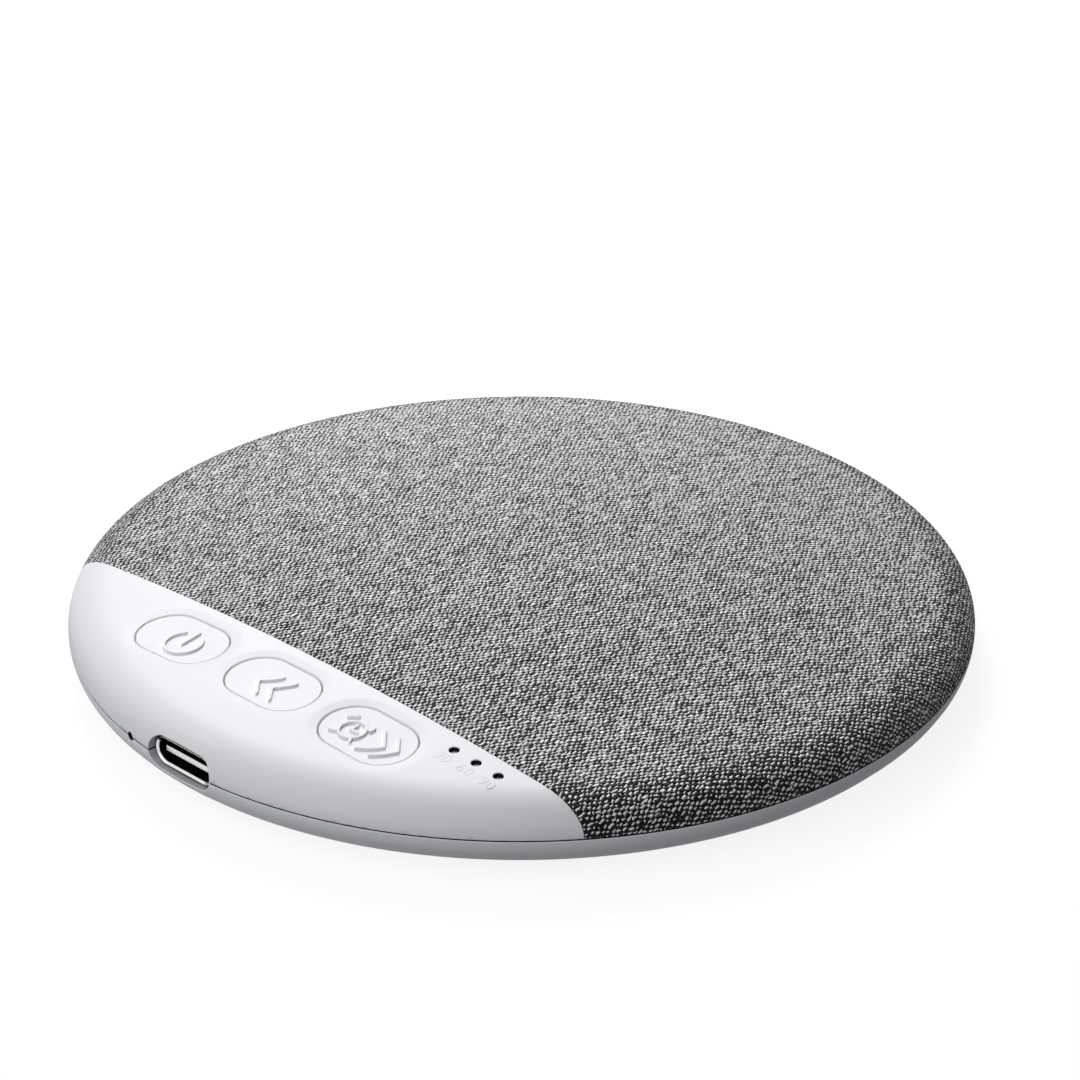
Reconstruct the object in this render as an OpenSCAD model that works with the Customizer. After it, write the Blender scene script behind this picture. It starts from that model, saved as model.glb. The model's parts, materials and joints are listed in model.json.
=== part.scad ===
// Bedside white noise sound machine: a thin round disc with a cloth-covered loudspeaker, a moulded
// control panel with three push buttons, and a USB-C port in its front edge.
// Millimetres. Z is up, the feet stand on z = 0, and the panel and the port face -Y.

/* [Case] */
// Outside diameter of the case
case_d = 100; // [98:0.5:106]
// Rise of the dome over the case's full radius
dome_h = 3.1; // [2.9:0.1:3.6]
// Height of the rolled rim above the parting line
rim_h = 3.85; // [3.75:0.05:4.3]
// Width of the rolled rim
rim_w = 4.4; // [4.2:0.1:4.8]
// Depth of the lower shell under the parting line
base_h = 4.4; // [4.3:0.05:4.9]
// Width of the lower shell's rolled edge
base_w = 5.4; // [5.1:0.1:5.8]
// Wall of the lower shell
wall = 1.2; // [1.1:0.05:1.3]
// Wall of the control panel
panel_wall = 1.4; // [1.2:0.05:1.5]
// Depth of the panel from the front edge of the case to the cloth
panel_depth = 19.2; // [18.8:0.1:20.4]
// Dark gap at the parting line
split_gap = 0.12; // [0.08:0.02:0.2]
// Height of the register lip that stands above the parting line
lip_h = 1; // [0.7:0.1:1.2]
// Thickness of the register lip
lip_t = 1.15; // [1:0.05:1.25]
// Clearance between the lip and the upper shells
lip_fit = 0.2; // [0.15:0.05:0.3]

/* [Grille and cloth] */
// Thickness of the perforated plate
grille_t = 1.2; // [1:0.05:1.3]
// Thickness of the speaker cloth
cloth_t = 0.5; // [0.4:0.05:0.55]
// Seam between the cloth and the panel
cloth_seam = 0.05; // [0.03:0.01:0.1]
// Diameter of a perforation
hole_d = 2; // [1.6:0.1:2.2]
// Spacing of the perforations
hole_pitch = 3.8; // [3.4:0.1:4.6]
// Width of the panel's ledge under the plate
ledge_w = 8.6; // [8:0.1:9]
// Thickness of the ledge
ledge_t = 1.1; // [0.9:0.1:1.2]
// Glue gap between the plate and the ledge
glue_gap = 0.1; // [0.05:0.01:0.12]

/* [Buttons] */
// Length of a button cap
button_l = 11.5; // [11:0.1:12]
// Width of a button cap
button_w = 7.3; // [6.8:0.1:7.8]
// Gap around a cap
button_gap = 0.12; // [0.1:0.02:0.2]
// Spacing of the buttons
button_pitch = 14.5; // [14.3:0.1:15]
// From the case's middle to the middle button
button_shift = 0.25; // [0:0.05:0.4]
// From the cloth's edge to the buttons
button_margin = 2.4; // [2.3:0.05:2.6]
// How far a button travels
button_travel = 0.3; // [0.2:0.05:0.35]
// Width of a cap's retaining flange
flange_w = 0.6; // [0.4:0.05:0.65]
// Thickness of the flange
flange_t = 0.7; // [0.5:0.05:0.8]
// Height of the raised symbols
symbol_h = 0.28; // [0.15:0.01:0.4]
// Stroke of the raised symbols
symbol_w = 0.36; // [0.3:0.02:0.44]

/* [Tact switches] */
// Side of a switch body
switch_s = 4.5; // [4:0.1:5]
// Height of a switch body
switch_h = 1.5; // [1.3:0.1:1.6]
// Diameter of the plunger
plunger_d = 2.2; // [1.8:0.1:2.6]
// How far the plunger stands out of the body
plunger_out = 0.5; // [0.4:0.05:0.55]
// Clearance of the plunger in its body
plunger_fit = 0.05; // [0.03:0.01:0.08]

/* [Main board] */
// Thickness of the board
board_t = 1; // [0.8:0.1:1.1]
// Clearance between the board and the lip
board_fit = 0.4; // [0.3:0.05:0.6]
// Diameter of a board screw's shank
board_screw_d = 1.4; // [1.2:0.1:1.6]
// Length of a board screw under its head
board_screw_l = 2.2; // [2:0.1:2.3]

/* [USB-C port] */
// Width of the receptacle's shell
port_w = 8.94; // [8.84:0.02:9.04]
// Height of the shell
port_h = 3.16; // [3.1:0.02:3.26]
// Length of the shell
port_l = 7; // [6.8:0.1:7.6]
// Sheet thickness of the shell
port_sheet = 0.3; // [0.2:0.05:0.35]
// Depth of the shell's front behind the edge of the case
port_recess = 1.05; // [0.9:0.05:1.4]
// Height of the port's centre above the parting line
port_rise = 0.22; // [0.12:0.02:0.32]
// How far the receptacle sinks into the board
port_sink = 0.76; // [0.6:0.02:0.9]
// Clearance beside the shell in the case opening
port_side_gap = 0.33; // [0.2:0.01:0.4]
// Clearance above and below the shell in the case opening
port_rise_gap = 0.28; // [0.2:0.01:0.35]
// Width of the tongue
tongue_w = 6.69; // [6.5:0.01:6.8]
// Thickness of the tongue
tongue_t = 0.7; // [0.6:0.02:0.8]

/* [Lamps] */
// Diameter of the timer lamp holes
lamp_hole_d = 1.1; // [1:0.05:1.3]
// Spacing of the timer lamps
lamp_pitch = 3.15; // [3:0.05:3.3]
// From the last button to the first timer lamp
lamp_gap = 2.7; // [2.5:0.05:3]
// From the cloth's edge to the timer lamps
lamp_margin = 2.12; // [2.1:0.02:2.4]
// Clearance around a light guide
guide_fit = 0.1; // [0.05:0.01:0.15]
// How far a light guide ends under the surface
guide_recess = 0.35; // [0.2:0.05:0.5]
// Diameter of the charge lamp's hole
charge_hole_d = 1; // [0.9:0.05:1.1]
// Distance of the charge lamp from the port's centre
charge_x = 8.2; // [7.9:0.1:8.6]

/* [Battery] */
// Length of the cell
battery_l = 40; // [34:0.5:40.5]
// Width of the cell
battery_w = 19; // [16:0.5:19.5]
// Thickness of the cell
battery_t = 4; // [3.2:0.1:4.2]
// Thickness of its adhesive pad
pad_t = 0.2; // [0.15:0.05:0.3]
// Free space around the cell
battery_gap = 1.6; // [1.4:0.1:2]

/* [Loudspeaker] */
// Outside diameter of the basket
speaker_d = 40; // [36:0.5:41]
// Height of the loudspeaker
speaker_h = 5.2; // [5.15:0.05:5.4]
// Thickness of the foam pad under the magnet
foam_t = 0.3; // [0.2:0.05:0.4]
// Sheet thickness of the basket
basket_t = 0.8; // [0.6:0.05:0.9]
// Width of the basket's front flange
basket_flange_w = 2.4; // [2.2:0.1:2.6]
// Thickness of the front gasket
gasket_t = 0.5; // [0.4:0.05:0.6]
// Outside diameter of the yoke cup
yoke_d = 20.6; // [19:0.1:22]
// Wall of the yoke cup
yoke_wall = 1; // [0.8:0.05:1.1]
// Diameter of the magnet
magnet_d = 12.2; // [11:0.1:13.4]
// Thickness of the magnet
magnet_t = 1.7; // [1.5:0.1:1.75]
// Thickness of the pole plate
pole_t = 0.8; // [0.6:0.05:0.85]
// Inside diameter of the voice coil
coil_d = 14.7; // [13.6:0.1:15.8]
// Thickness of the voice coil
coil_t = 0.35; // [0.3:0.05:0.45]
// Length of the voice coil
coil_l = 2.2; // [2:0.1:2.3]
// Thickness of the cone
cone_t = 0.3; // [0.2:0.05:0.35]
// How far the cone moves each way
cone_throw = 0.4; // [0.2:0.05:0.45]

/* [Screws and feet] */
// Diameter of a case screw's shank
screw_d = 1.7; // [1.5:0.1:1.9]
// Length of a case screw under its head
screw_l = 4; // [3.5:0.1:4.3]
// Clearance around a screw
screw_fit = 0.05; // [0.03:0.01:0.08]
// Diameter of a rubber foot
foot_d = 8; // [7:0.1:8.6]
// Thickness of a foot
foot_t = 1.4; // [1.3:0.05:1.5]
// How far a foot stands proud of the base
foot_proud = 0.6; // [0.5:0.05:0.7]
// Distance of a foot's centre from the edge of the case
foot_inset = 12; // [11.6:0.1:12.4]

/* [Hidden] */
$fn = 72;

// Case surfaces
case_r = case_d / 2;
rim_r = case_r - rim_w;
base_r = case_r - base_w;
dome_r = case_r * case_r / (2 * dome_h);
rim_slope = rim_r / dome_r;
crown_h = rim_h + rim_r * rim_r / (2 * dome_r);
seam_z = foot_proud + base_h;
edge_z = seam_z - split_gap;
floor_z = foot_proud + wall;
cover_t = cloth_t + grille_t;
top_wall = max(panel_wall, cover_t);
lip_r = rim_r + (rim_w - top_wall) * sqrt(1 - pow(lip_h / (rim_h - top_wall), 2)) - lip_fit;
lip_in = lip_r - lip_t;
panel_y = -(case_r - panel_depth);
far = 2 * case_r;
// How far joined features of one piece run into each other
bite = 0.3;
// How far inner features stay under the outer surface
skin = 0.2;
// Extra depth of a cut past the face it goes through
past = 1;
rim_steps = 12;
dome_steps = 6;
// Overlap of two solids that meet on a plane
overlap = 0.001;

// Least gap between parts on the board
part_gap = 0.5;

// Board and port heights
port_z = seam_z + port_rise;
port_front = -(case_r - port_recess);
port_back = port_front + port_l;
board_top = port_z - port_h / 2 + port_sink;
board_base = board_top - board_t;
board_r = lip_in - board_fit;
board_back = panel_y + bite + 0.2;
port_notch = 0.15;
tongue_recess = 0.5;
insulator_base = 2.4;
contact_inset = 0.5;
contact_clear = 0.4;
opening_w = port_w + 2 * port_side_gap;
opening_h = port_h + 2 * port_rise_gap;

// Buttons, switches and lamps
button_y = panel_y - button_margin - button_w / 2;
button_x = [button_shift - button_pitch, button_shift, button_shift + button_pitch];
collar_w = 1;
flange_r = button_w / 2 + flange_w;
flange_far = norm([button_x[2] + (button_l - button_w) / 2, button_y]) + flange_r;
flange_clear = 0.15;
flange_top = crown_z(flange_far, panel_wall) - flange_clear;
flange_base = flange_top - flange_t;
collar_gap = 0.05;
switch_top = board_top + switch_h;
plunger_top = switch_top + plunger_out;
plunger_base = switch_top - plunger_out - bite;
// The middle switch stays behind the port
switch_y = [button_y, max(button_y, port_back + part_gap + switch_s / 2), button_y];
switch_floor = plunger_base - button_travel - 0.1;
post_r = plunger_d / 2 + 0.2;
lamp_y = panel_y - lamp_margin;
lamp_x0 = button_x[2] + button_l / 2 + lamp_gap;
lamp_size = [1.6, 0.8, 0.5];
guide_r = lamp_hole_d / 2 - guide_fit;
guide_bar_w = 1.6;
guide_bar_t = 0.8;
guide_lift = 0.2;
rib_t = 1.2;
charge_y = -sqrt(board_r * board_r - charge_x * charge_x);
charge_z = seam_z - split_gap / 2;
charge_block = [1.8, 1.5, 1.4];
charge_block_y = charge_y + 0.2;

// Battery and loudspeaker places
battery_front = board_back + battery_gap;
battery_back = battery_front + battery_w;
battery_z = floor_z + pad_t;
pad_inset = [2, 3];
speaker_r = speaker_d / 2;
speaker_y = battery_back + battery_gap + speaker_r;
yoke_z = floor_z + foam_t;
yoke_r = yoke_d / 2;
yoke_floor = 0.8;
magnet_z = yoke_z + yoke_floor;
pole_z = magnet_z + magnet_t;
flange_z = yoke_z + speaker_h;
yoke_top = pole_z + pole_t + 0.1;
basket_floor = yoke_top - 1.4;
cone_edge_r = speaker_r - basket_flange_w - 1.3;
cone_base = yoke_top + cone_throw + 0.1;
coil_r = coil_d / 2;
pole_r = coil_r - 0.45;
gap_r = coil_r + coil_t + 0.5;
neck_w = coil_t + 0.2;
roll_r = 0.75;
roll_mid = speaker_r - basket_flange_w - roll_r + 0.15;
roll_foot = 0.6;
foot_pad_t = 0.2;
gasket_in = roll_mid + roll_r + roll_foot + 0.1;
gasket_z = flange_z + gasket_t;
ring_fit = 0.15;
ring_wall = 1.2;
ring_in = speaker_r + ring_fit;
ring_z = flange_z - 0.9;
land_in = roll_mid + roll_r + 0.1;
roll_top = flange_z + roll_r + 0.2;
hole_edge = 0.4;
tab_size = [2.2, 5, 0.6];
tab_z = basket_floor + basket_t;

// Chips, small parts and the battery socket on the board
screw_room = 1.2;
chip_h = 0.9;
chip_y = button_y + 1.3;
control_chip_size = [5, 5];
amplifier_chip_size = [5, 4];
memory_chip_size = [4, 3];
memory_y = board_back - part_gap - memory_chip_size[1] / 2;
part_size = [0.8, 1.6, 0.8];
part_step = 2;
part_y = button_y + 0.6;
// The small parts stand beside the outer switch and between the chips and the switches
part_side = button_pitch + switch_s / 2 + 1.4 + part_size[0] / 2;
part_mid = (1.5 * button_pitch + control_chip_size[0] / 2 - switch_s / 2) / 2;
part_spots = [
    for (spot = [[-part_side, 0.5], [-part_side, -0.5], [-part_mid, 0], [part_mid, 0.5], [part_mid, -0.5]])
        [button_shift + spot[0], part_y + spot[1] * part_step]
];
socket_size = [4, 3.4, 2];
socket_wall = 0.5;
socket_inset = 1.7;
socket_x = button_x[0] - (button_l / 2 + flange_w + 0.9 + socket_size[0] / 2);
socket_y = board_back - socket_inset - socket_size[1] / 2;

// Leads
lead_r = 0.35;
lead_gap = 1.1;
lead_clear = 0.2;
lead_line = max(battery_l / 2 + 1, speaker_r + 0.5);

// Screws and feet
foot_r = foot_d / 2;
foot_fit = 0.15;
foot_pad_r = foot_r + foot_fit + 1;
foot_pad_top = foot_t + 1;
head_d = 3;
head_h = 1;
head_fit = 0.2;
head_z = foot_t + 0.1;
seat_z = head_z + head_h;
boss_r = 2.9;
boss_top = seat_z + 1.2;
post_out_r = 2.3;
foot_ring = case_r - foot_inset;
foot_y = board_back + 0.5 + boss_r;
// The feet stand clear of the leads, which run beside the cell and the loudspeaker
foot_clear_x = lead_line + lead_gap + lead_r + lead_clear + boss_r;
foot_x = max(sqrt(foot_ring * foot_ring - foot_y * foot_y), foot_clear_x);
foot_spots = [[foot_x, foot_y], [-foot_x, foot_y], [foot_x, -foot_y], [-foot_x, -foot_y]];
bore_r = screw_d / 2 + screw_fit;
bore_spare = 0.2;
board_head_d = 2.4;
board_head_h = 0.7;
board_boss_r = 1.9;
board_bore_r = board_screw_d / 2 + screw_fit;
board_screw_r = board_r - 1.75;
// The inner screws stand beside the charge lamp, and the outer ones in front of the battery socket
inner_x = charge_x + charge_block[0] / 2 + screw_room + board_head_d / 2;
inner_y = -sqrt(board_screw_r * board_screw_r - inner_x * inner_x);
outer_y = socket_y - socket_size[1] / 2 - part_gap - board_head_d / 2;
outer_x = sqrt(board_screw_r * board_screw_r - outer_y * outer_y);
board_spots = [[-outer_x, outer_y], [-inner_x, inner_y], [inner_x, inner_y], [outer_x, outer_y]];

// ---- Surfaces ----------------------------------------------------------------------------------

// Height of the dome at radius r, for the surface that lies d under the outer one
function dome_z(r, d = 0) = seam_z + crown_h - d - r * r / (2 * dome_r);

// Point on the rolled rim, a = 90 at the parting line and a = 0 where the dome begins
function rim_point(a, d) =
    let (t = sin(a), out = (rim_w - d) * t)
    [rim_r + out, seam_z + (rim_h - d) * cos(a) - rim_slope * out * (1 - t)];

// Height at radius r of the surface that lies d under the dome or under the rolled rim
function crown_z(r, d) = r <= rim_r ? dome_z(r, d) : rim_point(asin((r - rim_r) / (rim_w - d)), d)[1];

// The whole upper line from the parting line to the centre
function crown_line(d) = concat(
    [for (i = [rim_steps : -1 : 0]) rim_point(90 * i / rim_steps, d)],
    [for (i = [dome_steps - 1 : -1 : 0]) let (r = rim_r * i / dome_steps) [r, dome_z(r, d)]]
);

// Point on the lower shell's rolled edge, a = 90 at the parting line and a = 0 at the flat base
function base_point(a, d) =
    [base_r + (base_w - d) * sin(a), edge_z - (base_h - split_gap - d) * cos(a)];

function backwards(v) = [for (i = [len(v) - 1 : -1 : 0]) v[i]];

// Solid between two depths under the outer crown
module crown_shell(d0, d1) {
    rotate_extrude()
        polygon(concat(crown_line(d0), backwards(crown_line(d1))));
}

// Everything above z0 that lies d or more under the outer crown
module crown_fill(d, z0) {
    intersection() {
        rotate_extrude()
            polygon(concat([[0, seam_z]], crown_line(d)));
        translate([-far / 2, -far / 2, z0])
            cube([far, far, far]);
    }
}

module front_half(y) {
    translate([-far / 2, y - far, 0])
        cube([far, far, far]);
}

module back_half(y) {
    translate([-far / 2, y, 0])
        cube([far, far, far]);
}

module tube(r_out, r_in, h) {
    difference() {
        cylinder(r = r_out, h = h);
        translate([0, 0, -past])
            cylinder(r = r_in, h = h + 2 * past);
    }
}

// Long hole shape, l long and w wide, upright
module stadium(l, w, h) {
    translate([-(l - w) / 2, 0, 0])
        cylinder(d = w, h = h);
    translate([(l - w) / 2, 0, 0])
        cylinder(d = w, h = h);
    translate([-(l - w) / 2, -w / 2, 0])
        cube([l - w, w, h]);
}

// The same lying along Y, from y0 to y1, centred on the port
module port_bar(l, w, y0, y1) {
    translate([0, y1, port_z])
        rotate([90, 0, 0])
            stadium(l, w, y1 - y0);
}

// Round bar through points, as one swept solid with eight sides
function unit(v) = v / norm(v);
function run_at(p, i) = unit(p[min(i + 1, len(p) - 1)] - p[max(i - 1, 0)]);
module sweep(p, r) {
    sides = 8;
    rings = [for (i = [0 : len(p) - 1])
        let (t = run_at(p, i), u = unit(cross(t, [0.3, 0.2, 1])), v = cross(t, u))
            [for (k = [0 : sides - 1]) p[i] + r * (cos(45 * k) * u + sin(45 * k) * v)]];
    points = [for (ring = rings) for (q = ring) q];
    side_faces = [for (i = [0 : len(p) - 2]) for (k = [0 : sides - 1])
        [i * sides + k, i * sides + (k + 1) % sides, (i + 1) * sides + (k + 1) % sides, (i + 1) * sides + k]];
    first_face = [for (k = [sides - 1 : -1 : 0]) k];
    last_face = [for (k = [0 : sides - 1]) (len(p) - 1) * sides + k];
    polyhedron(points, concat([first_face], side_faces, [last_face]));
}

// ---- Case --------------------------------------------------------------------------------------

module port_opening() {
    port_bar(opening_w, opening_h, -far, -(lip_in - lip_t));
}

module charge_opening() {
    translate([-charge_x, -(lip_in - lip_t), charge_z])
        rotate([90, 0, 0])
            cylinder(d = charge_hole_d, h = far);
}

module bottom_profile() {
    a_lip = asin((lip_in - base_r) / (base_w - wall));
    outer = [for (i = [0 : rim_steps]) base_point(90 * i / rim_steps, 0)];
    inner = [for (i = [4 : -1 : 0]) base_point(a_lip * i / 4, wall)];
    polygon(concat(
        [[0, foot_proud]],
        outer,
        [[lip_r, edge_z], [lip_r, seam_z + lip_h], [lip_in, seam_z + lip_h]],
        inner,
        [[0, floor_z]]
    ));
}

module bottom_shell() {
    color("#dfe1e6")
    difference() {
        union() {
            rotate_extrude()
                bottom_profile();
            for (p = foot_spots) {
                translate([p[0], p[1], foot_proud + skin])
                    cylinder(r = foot_pad_r, h = foot_pad_top - foot_proud - skin);
                translate([p[0], p[1], foot_proud + skin])
                    cylinder(r = boss_r, h = boss_top - foot_proud - skin);
            }
            for (p = board_spots)
                translate([p[0], p[1], floor_z - bite])
                    cylinder(r = board_boss_r, h = board_base - floor_z + bite);
        }
        for (p = foot_spots) {
            translate([p[0], p[1], -past])
                cylinder(r = foot_r + foot_fit, h = foot_t + past);
            translate([p[0], p[1], 0])
                cylinder(r = head_d / 2 + head_fit, h = seat_z);
            translate([p[0], p[1], 0])
                cylinder(r = bore_r, h = boss_top + past);
        }
        for (p = board_spots)
            translate([p[0], p[1], board_top - board_screw_l - bore_spare])
                cylinder(r = board_bore_r, h = board_t + board_screw_l);
        port_opening();
        charge_opening();
    }
}

module button_opening(x, grow, h0) {
    translate([x, button_y, h0])
        stadium(button_l + 2 * grow, button_w + 2 * grow, far);
}

module lamp_holes() {
    for (i = [0 : 2])
        translate([lamp_x0 + i * lamp_pitch, lamp_y, 0])
            cylinder(d = lamp_hole_d, h = far);
}

// Screw post that hangs from an upper shell and stands on a boss
module hanging_post(p, d) {
    intersection() {
        translate([p[0], p[1], boss_top])
            cylinder(r = post_out_r, h = far);
        union() {
            crown_fill(d, seam_z);
            translate([-far / 2, -far / 2, 0])
                cube([far, far, seam_z + overlap]);
        }
    }
}

module post_bore(p) {
    translate([p[0], p[1], boss_top - past])
        cylinder(r = bore_r, h = seat_z + screw_l + 2 * bore_spare - boss_top + past);
}

module control_panel() {
    ledge_d0 = cover_t + glue_gap;
    ledge_d1 = ledge_d0 + ledge_t;
    color("#f0f1f5")
    difference() {
        union() {
            intersection() {
                crown_shell(0, panel_wall);
                front_half(panel_y);
            }
            // Rib along the cloth's edge
            intersection() {
                crown_shell(skin, ledge_d1);
                translate([-far / 2, panel_y - rib_t, 0])
                    cube([far, rib_t, far]);
                cylinder(r = lip_in - bite, h = far);
            }
            // Ledge that carries the plate
            intersection() {
                crown_shell(ledge_d0, ledge_d1);
                translate([-far / 2, panel_y - bite, 0])
                    cube([far, ledge_w + bite, far]);
                cylinder(r = lip_in - bite, h = far);
            }
            for (x = button_x)
                intersection() {
                    button_opening(x, button_gap + collar_w, flange_top + collar_gap);
                    crown_fill(skin, flange_top + collar_gap);
                }
            for (i = [0, 1])
                hanging_post(foot_spots[i], ledge_d0 + skin);
        }
        for (x = button_x)
            button_opening(x, button_gap, 0);
        lamp_holes();
        port_opening();
        charge_opening();
        for (i = [0, 1])
            post_bore(foot_spots[i]);
    }
}

module perforations() {
    reach = land_in - hole_d / 2 - hole_edge;
    n = ceil(reach / hole_pitch) + 1;
    for (i = [-n : n])
        for (j = [-n : n]) {
            x = (i + j / 2) * hole_pitch;
            y = j * hole_pitch * sin(60);
            if (norm([x, y]) < reach)
                translate([x, speaker_y + y, 0])
                    cylinder(d = hole_d, h = far);
        }
}

module grille_plate() {
    color("#3b3d41")
    difference() {
        union() {
            // The plate stays clear of the gasket and the surround, also where the dome comes low
            difference() {
                intersection() {
                    crown_shell(cloth_t, cover_t);
                    back_half(panel_y + cloth_seam);
                }
                translate([0, speaker_y, 0])
                    cylinder(r = speaker_r, h = gasket_z);
                translate([0, speaker_y, 0])
                    cylinder(r = land_in, h = roll_top);
            }
            // Ring that holds the loudspeaker
            intersection() {
                translate([0, speaker_y, ring_z])
                    tube(ring_in + ring_wall, ring_in, far);
                crown_fill(cloth_t + skin, ring_z);
            }
            // Land that presses on the gasket
            intersection() {
                translate([0, speaker_y, gasket_z])
                    tube(ring_in + bite, land_in, far);
                crown_fill(cloth_t + skin, gasket_z);
            }
            for (i = [2, 3])
                hanging_post(foot_spots[i], cloth_t + skin);
        }
        perforations();
        for (i = [2, 3])
            post_bore(foot_spots[i]);
    }
}

module speaker_cloth() {
    color("#8b8d90")
    intersection() {
        crown_shell(0, cloth_t);
        back_half(panel_y + cloth_seam);
    }
}

// ---- Buttons -----------------------------------------------------------------------------------

// One stroke of a symbol from a to b
module stroke(a, b) {
    d = b - a;
    translate(a)
        rotate(atan2(d[1], d[0]))
            translate([-symbol_w / 2, -symbol_w / 2])
                square([norm(d) + symbol_w, symbol_w]);
}

module ring_2d(r) {
    difference() {
        circle(r = r);
        circle(r = r - symbol_w);
    }
}

// Power: a ring that is open at the top and a short bar
module power_symbol() {
    r = 2.3;
    bar_h = 2.3;
    opening = 1.55;
    translate([0.95, -0.7]) {
        difference() {
            ring_2d(r);
            translate([-opening, r * 0.68])
                square([2 * opening, r]);
        }
        stroke([0, -0.3], [0, bar_h]);
    }
}

module chevron(x, dir) {
    arm = 1.9;
    stroke([x, 0], [x - dir * arm * 0.9, arm]);
    stroke([x, 0], [x - dir * arm * 0.9, -arm]);
}

// Back: two chevrons that point left
module back_symbol() {
    translate([-1.2, -0.65]) {
        chevron(0, -1);
        chevron(2.1, -1);
    }
}

// Timer and next: a small alarm clock and two chevrons that point right
module timer_symbol() {
    r = 1.65;
    translate([-1.6, -0.5]) {
        ring_2d(r);
        stroke([0, 0], [0, 0.8]);
        stroke([0, 0], [0.6, 0]);
        for (s = [-1, 1]) {
            stroke([s * 1.05, -1.2], [s * 1.35, -1.65]);
            stroke([s * 0.95, 1.95], [s * 1.75, 1.15]);
        }
    }
    translate([3, -0.5]) {
        chevron(0, 1);
        chevron(1.8, 1);
    }
}

module button_cap(i) {
    x = button_x[i];
    room_w = port_w + 2 * part_gap;
    color("#f2f3f6")
    difference() {
        union() {
            intersection() {
                translate([x, button_y, flange_base])
                    stadium(button_l, button_w, far);
                crown_fill(0, flange_base);
            }
            translate([x, button_y, flange_base])
                stadium(button_l + 2 * flange_w, button_w + 2 * flange_w, flange_t);
            translate([x, switch_y[i], plunger_top])
                cylinder(r = post_r, h = max(flange_base - plunger_top, 0) + bite);
            intersection() {
                translate([x, button_y, flange_base])
                    linear_extrude(far)
                        children();
                crown_fill(-symbol_h, flange_base);
            }
        }
        // Pocket for the plunger, where the flange comes lower than its top
        translate([x, switch_y[i], 0])
            cylinder(r = plunger_d / 2 + plunger_fit, h = plunger_top);
        // Room to press the cap over the port
        translate([-room_w / 2, -far, 0])
            cube([room_w, far + port_back + part_gap, port_z + port_h / 2 + button_travel + flange_clear]);
    }
}

module power_button() {
    button_cap(0)
        power_symbol();
}

module back_button() {
    button_cap(1)
        back_symbol();
}

module next_button() {
    button_cap(2)
        timer_symbol();
}

module plunger(i) {
    color("#202124")
    translate([button_x[i], switch_y[i], plunger_base])
        cylinder(d = plunger_d, h = plunger_top - plunger_base);
}

module power_plunger() {
    plunger(0);
}

module back_plunger() {
    plunger(1);
}

module next_plunger() {
    plunger(2);
}

module tact_switch(i) {
    color("#55585d")
    translate([button_x[i], switch_y[i], 0])
        difference() {
            translate([-switch_s / 2, -switch_s / 2, board_top])
                cube([switch_s, switch_s, switch_h]);
            translate([0, 0, switch_floor])
                cylinder(r = plunger_d / 2 + plunger_fit, h = far);
        }
}

module power_switch() {
    tact_switch(0);
}

module back_switch() {
    tact_switch(1);
}

module next_switch() {
    tact_switch(2);
}

// ---- Main board --------------------------------------------------------------------------------

module main_board() {
    notch_w = port_w + 2 * port_notch;
    color("#1f5a3a")
    difference() {
        intersection() {
            translate([0, 0, board_base])
                cylinder(r = board_r, h = board_t);
            front_half(board_back);
        }
        translate([-notch_w / 2, -far, board_base - past])
            cube([notch_w, far + port_back + port_notch, board_t + 2 * past]);
        for (p = board_spots)
            translate([p[0], p[1], board_base - past])
                cylinder(r = board_bore_r, h = board_t + 2 * past);
    }
}

module board_screws() {
    color("#c9ccd0")
    for (p = board_spots)
        translate([p[0], p[1], board_top]) {
            cylinder(d = board_head_d, h = board_head_h);
            translate([0, 0, -board_screw_l])
                cylinder(d = board_screw_d, h = board_screw_l + bite);
        }
}

module chip(x, y, size) {
    color("#1a1b1d")
    translate([x - size[0] / 2, y - size[1] / 2, board_top])
        cube([size[0], size[1], chip_h]);
}

module control_chip() {
    chip((button_x[1] + button_x[2]) / 2, chip_y, control_chip_size);
}

module amplifier_chip() {
    chip((button_x[0] + button_x[1]) / 2, chip_y, amplifier_chip_size);
}

module memory_chip() {
    chip(button_x[2], memory_y, memory_chip_size);
}

module board_parts() {
    color("#b08a4a")
    for (s = part_spots)
        translate([s[0] - part_size[0] / 2, s[1] - part_size[1] / 2, board_top])
            cube(part_size);
}

// ---- USB-C receptacle --------------------------------------------------------------------------

module usb_shell() {
    // Each leg leaves the middle of the sheet, where the shell's round side meets the board's top
    leg = [1.1, 1, port_sheet];
    leg_drop = port_z - board_top - port_sheet / 2;
    leg_root = (port_w - port_h) / 2 + sqrt(pow((port_h - port_sheet) / 2, 2) - leg_drop * leg_drop);
    board_edge = -sqrt(board_r * board_r - pow(leg_root + leg[0], 2));
    leg_spots = [max(port_front + 2.3, board_edge + 0.2), port_back - 1.6];
    color("#c4c7cb") {
        difference() {
            port_bar(port_w, port_h, port_front, port_back);
            port_bar(port_w - 2 * port_sheet, port_h - 2 * port_sheet, port_front - past, port_back + past);
        }
        for (s = [-1, 1])
            for (y = leg_spots)
                translate([s * (leg_root + leg[0] / 2) - leg[0] / 2, y, board_top])
                    cube(leg);
    }
}

module usb_insulator() {
    clear = 0.02;
    color("#e9eaec") {
        port_bar(port_w - 2 * port_sheet - clear, port_h - 2 * port_sheet - clear,
                 port_back - insulator_base, port_back - 0.1);
        translate([-tongue_w / 2, port_front + tongue_recess, port_z - tongue_t / 2])
            cube([tongue_w, port_l - insulator_base - tongue_recess + bite, tongue_t]);
    }
}

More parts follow.
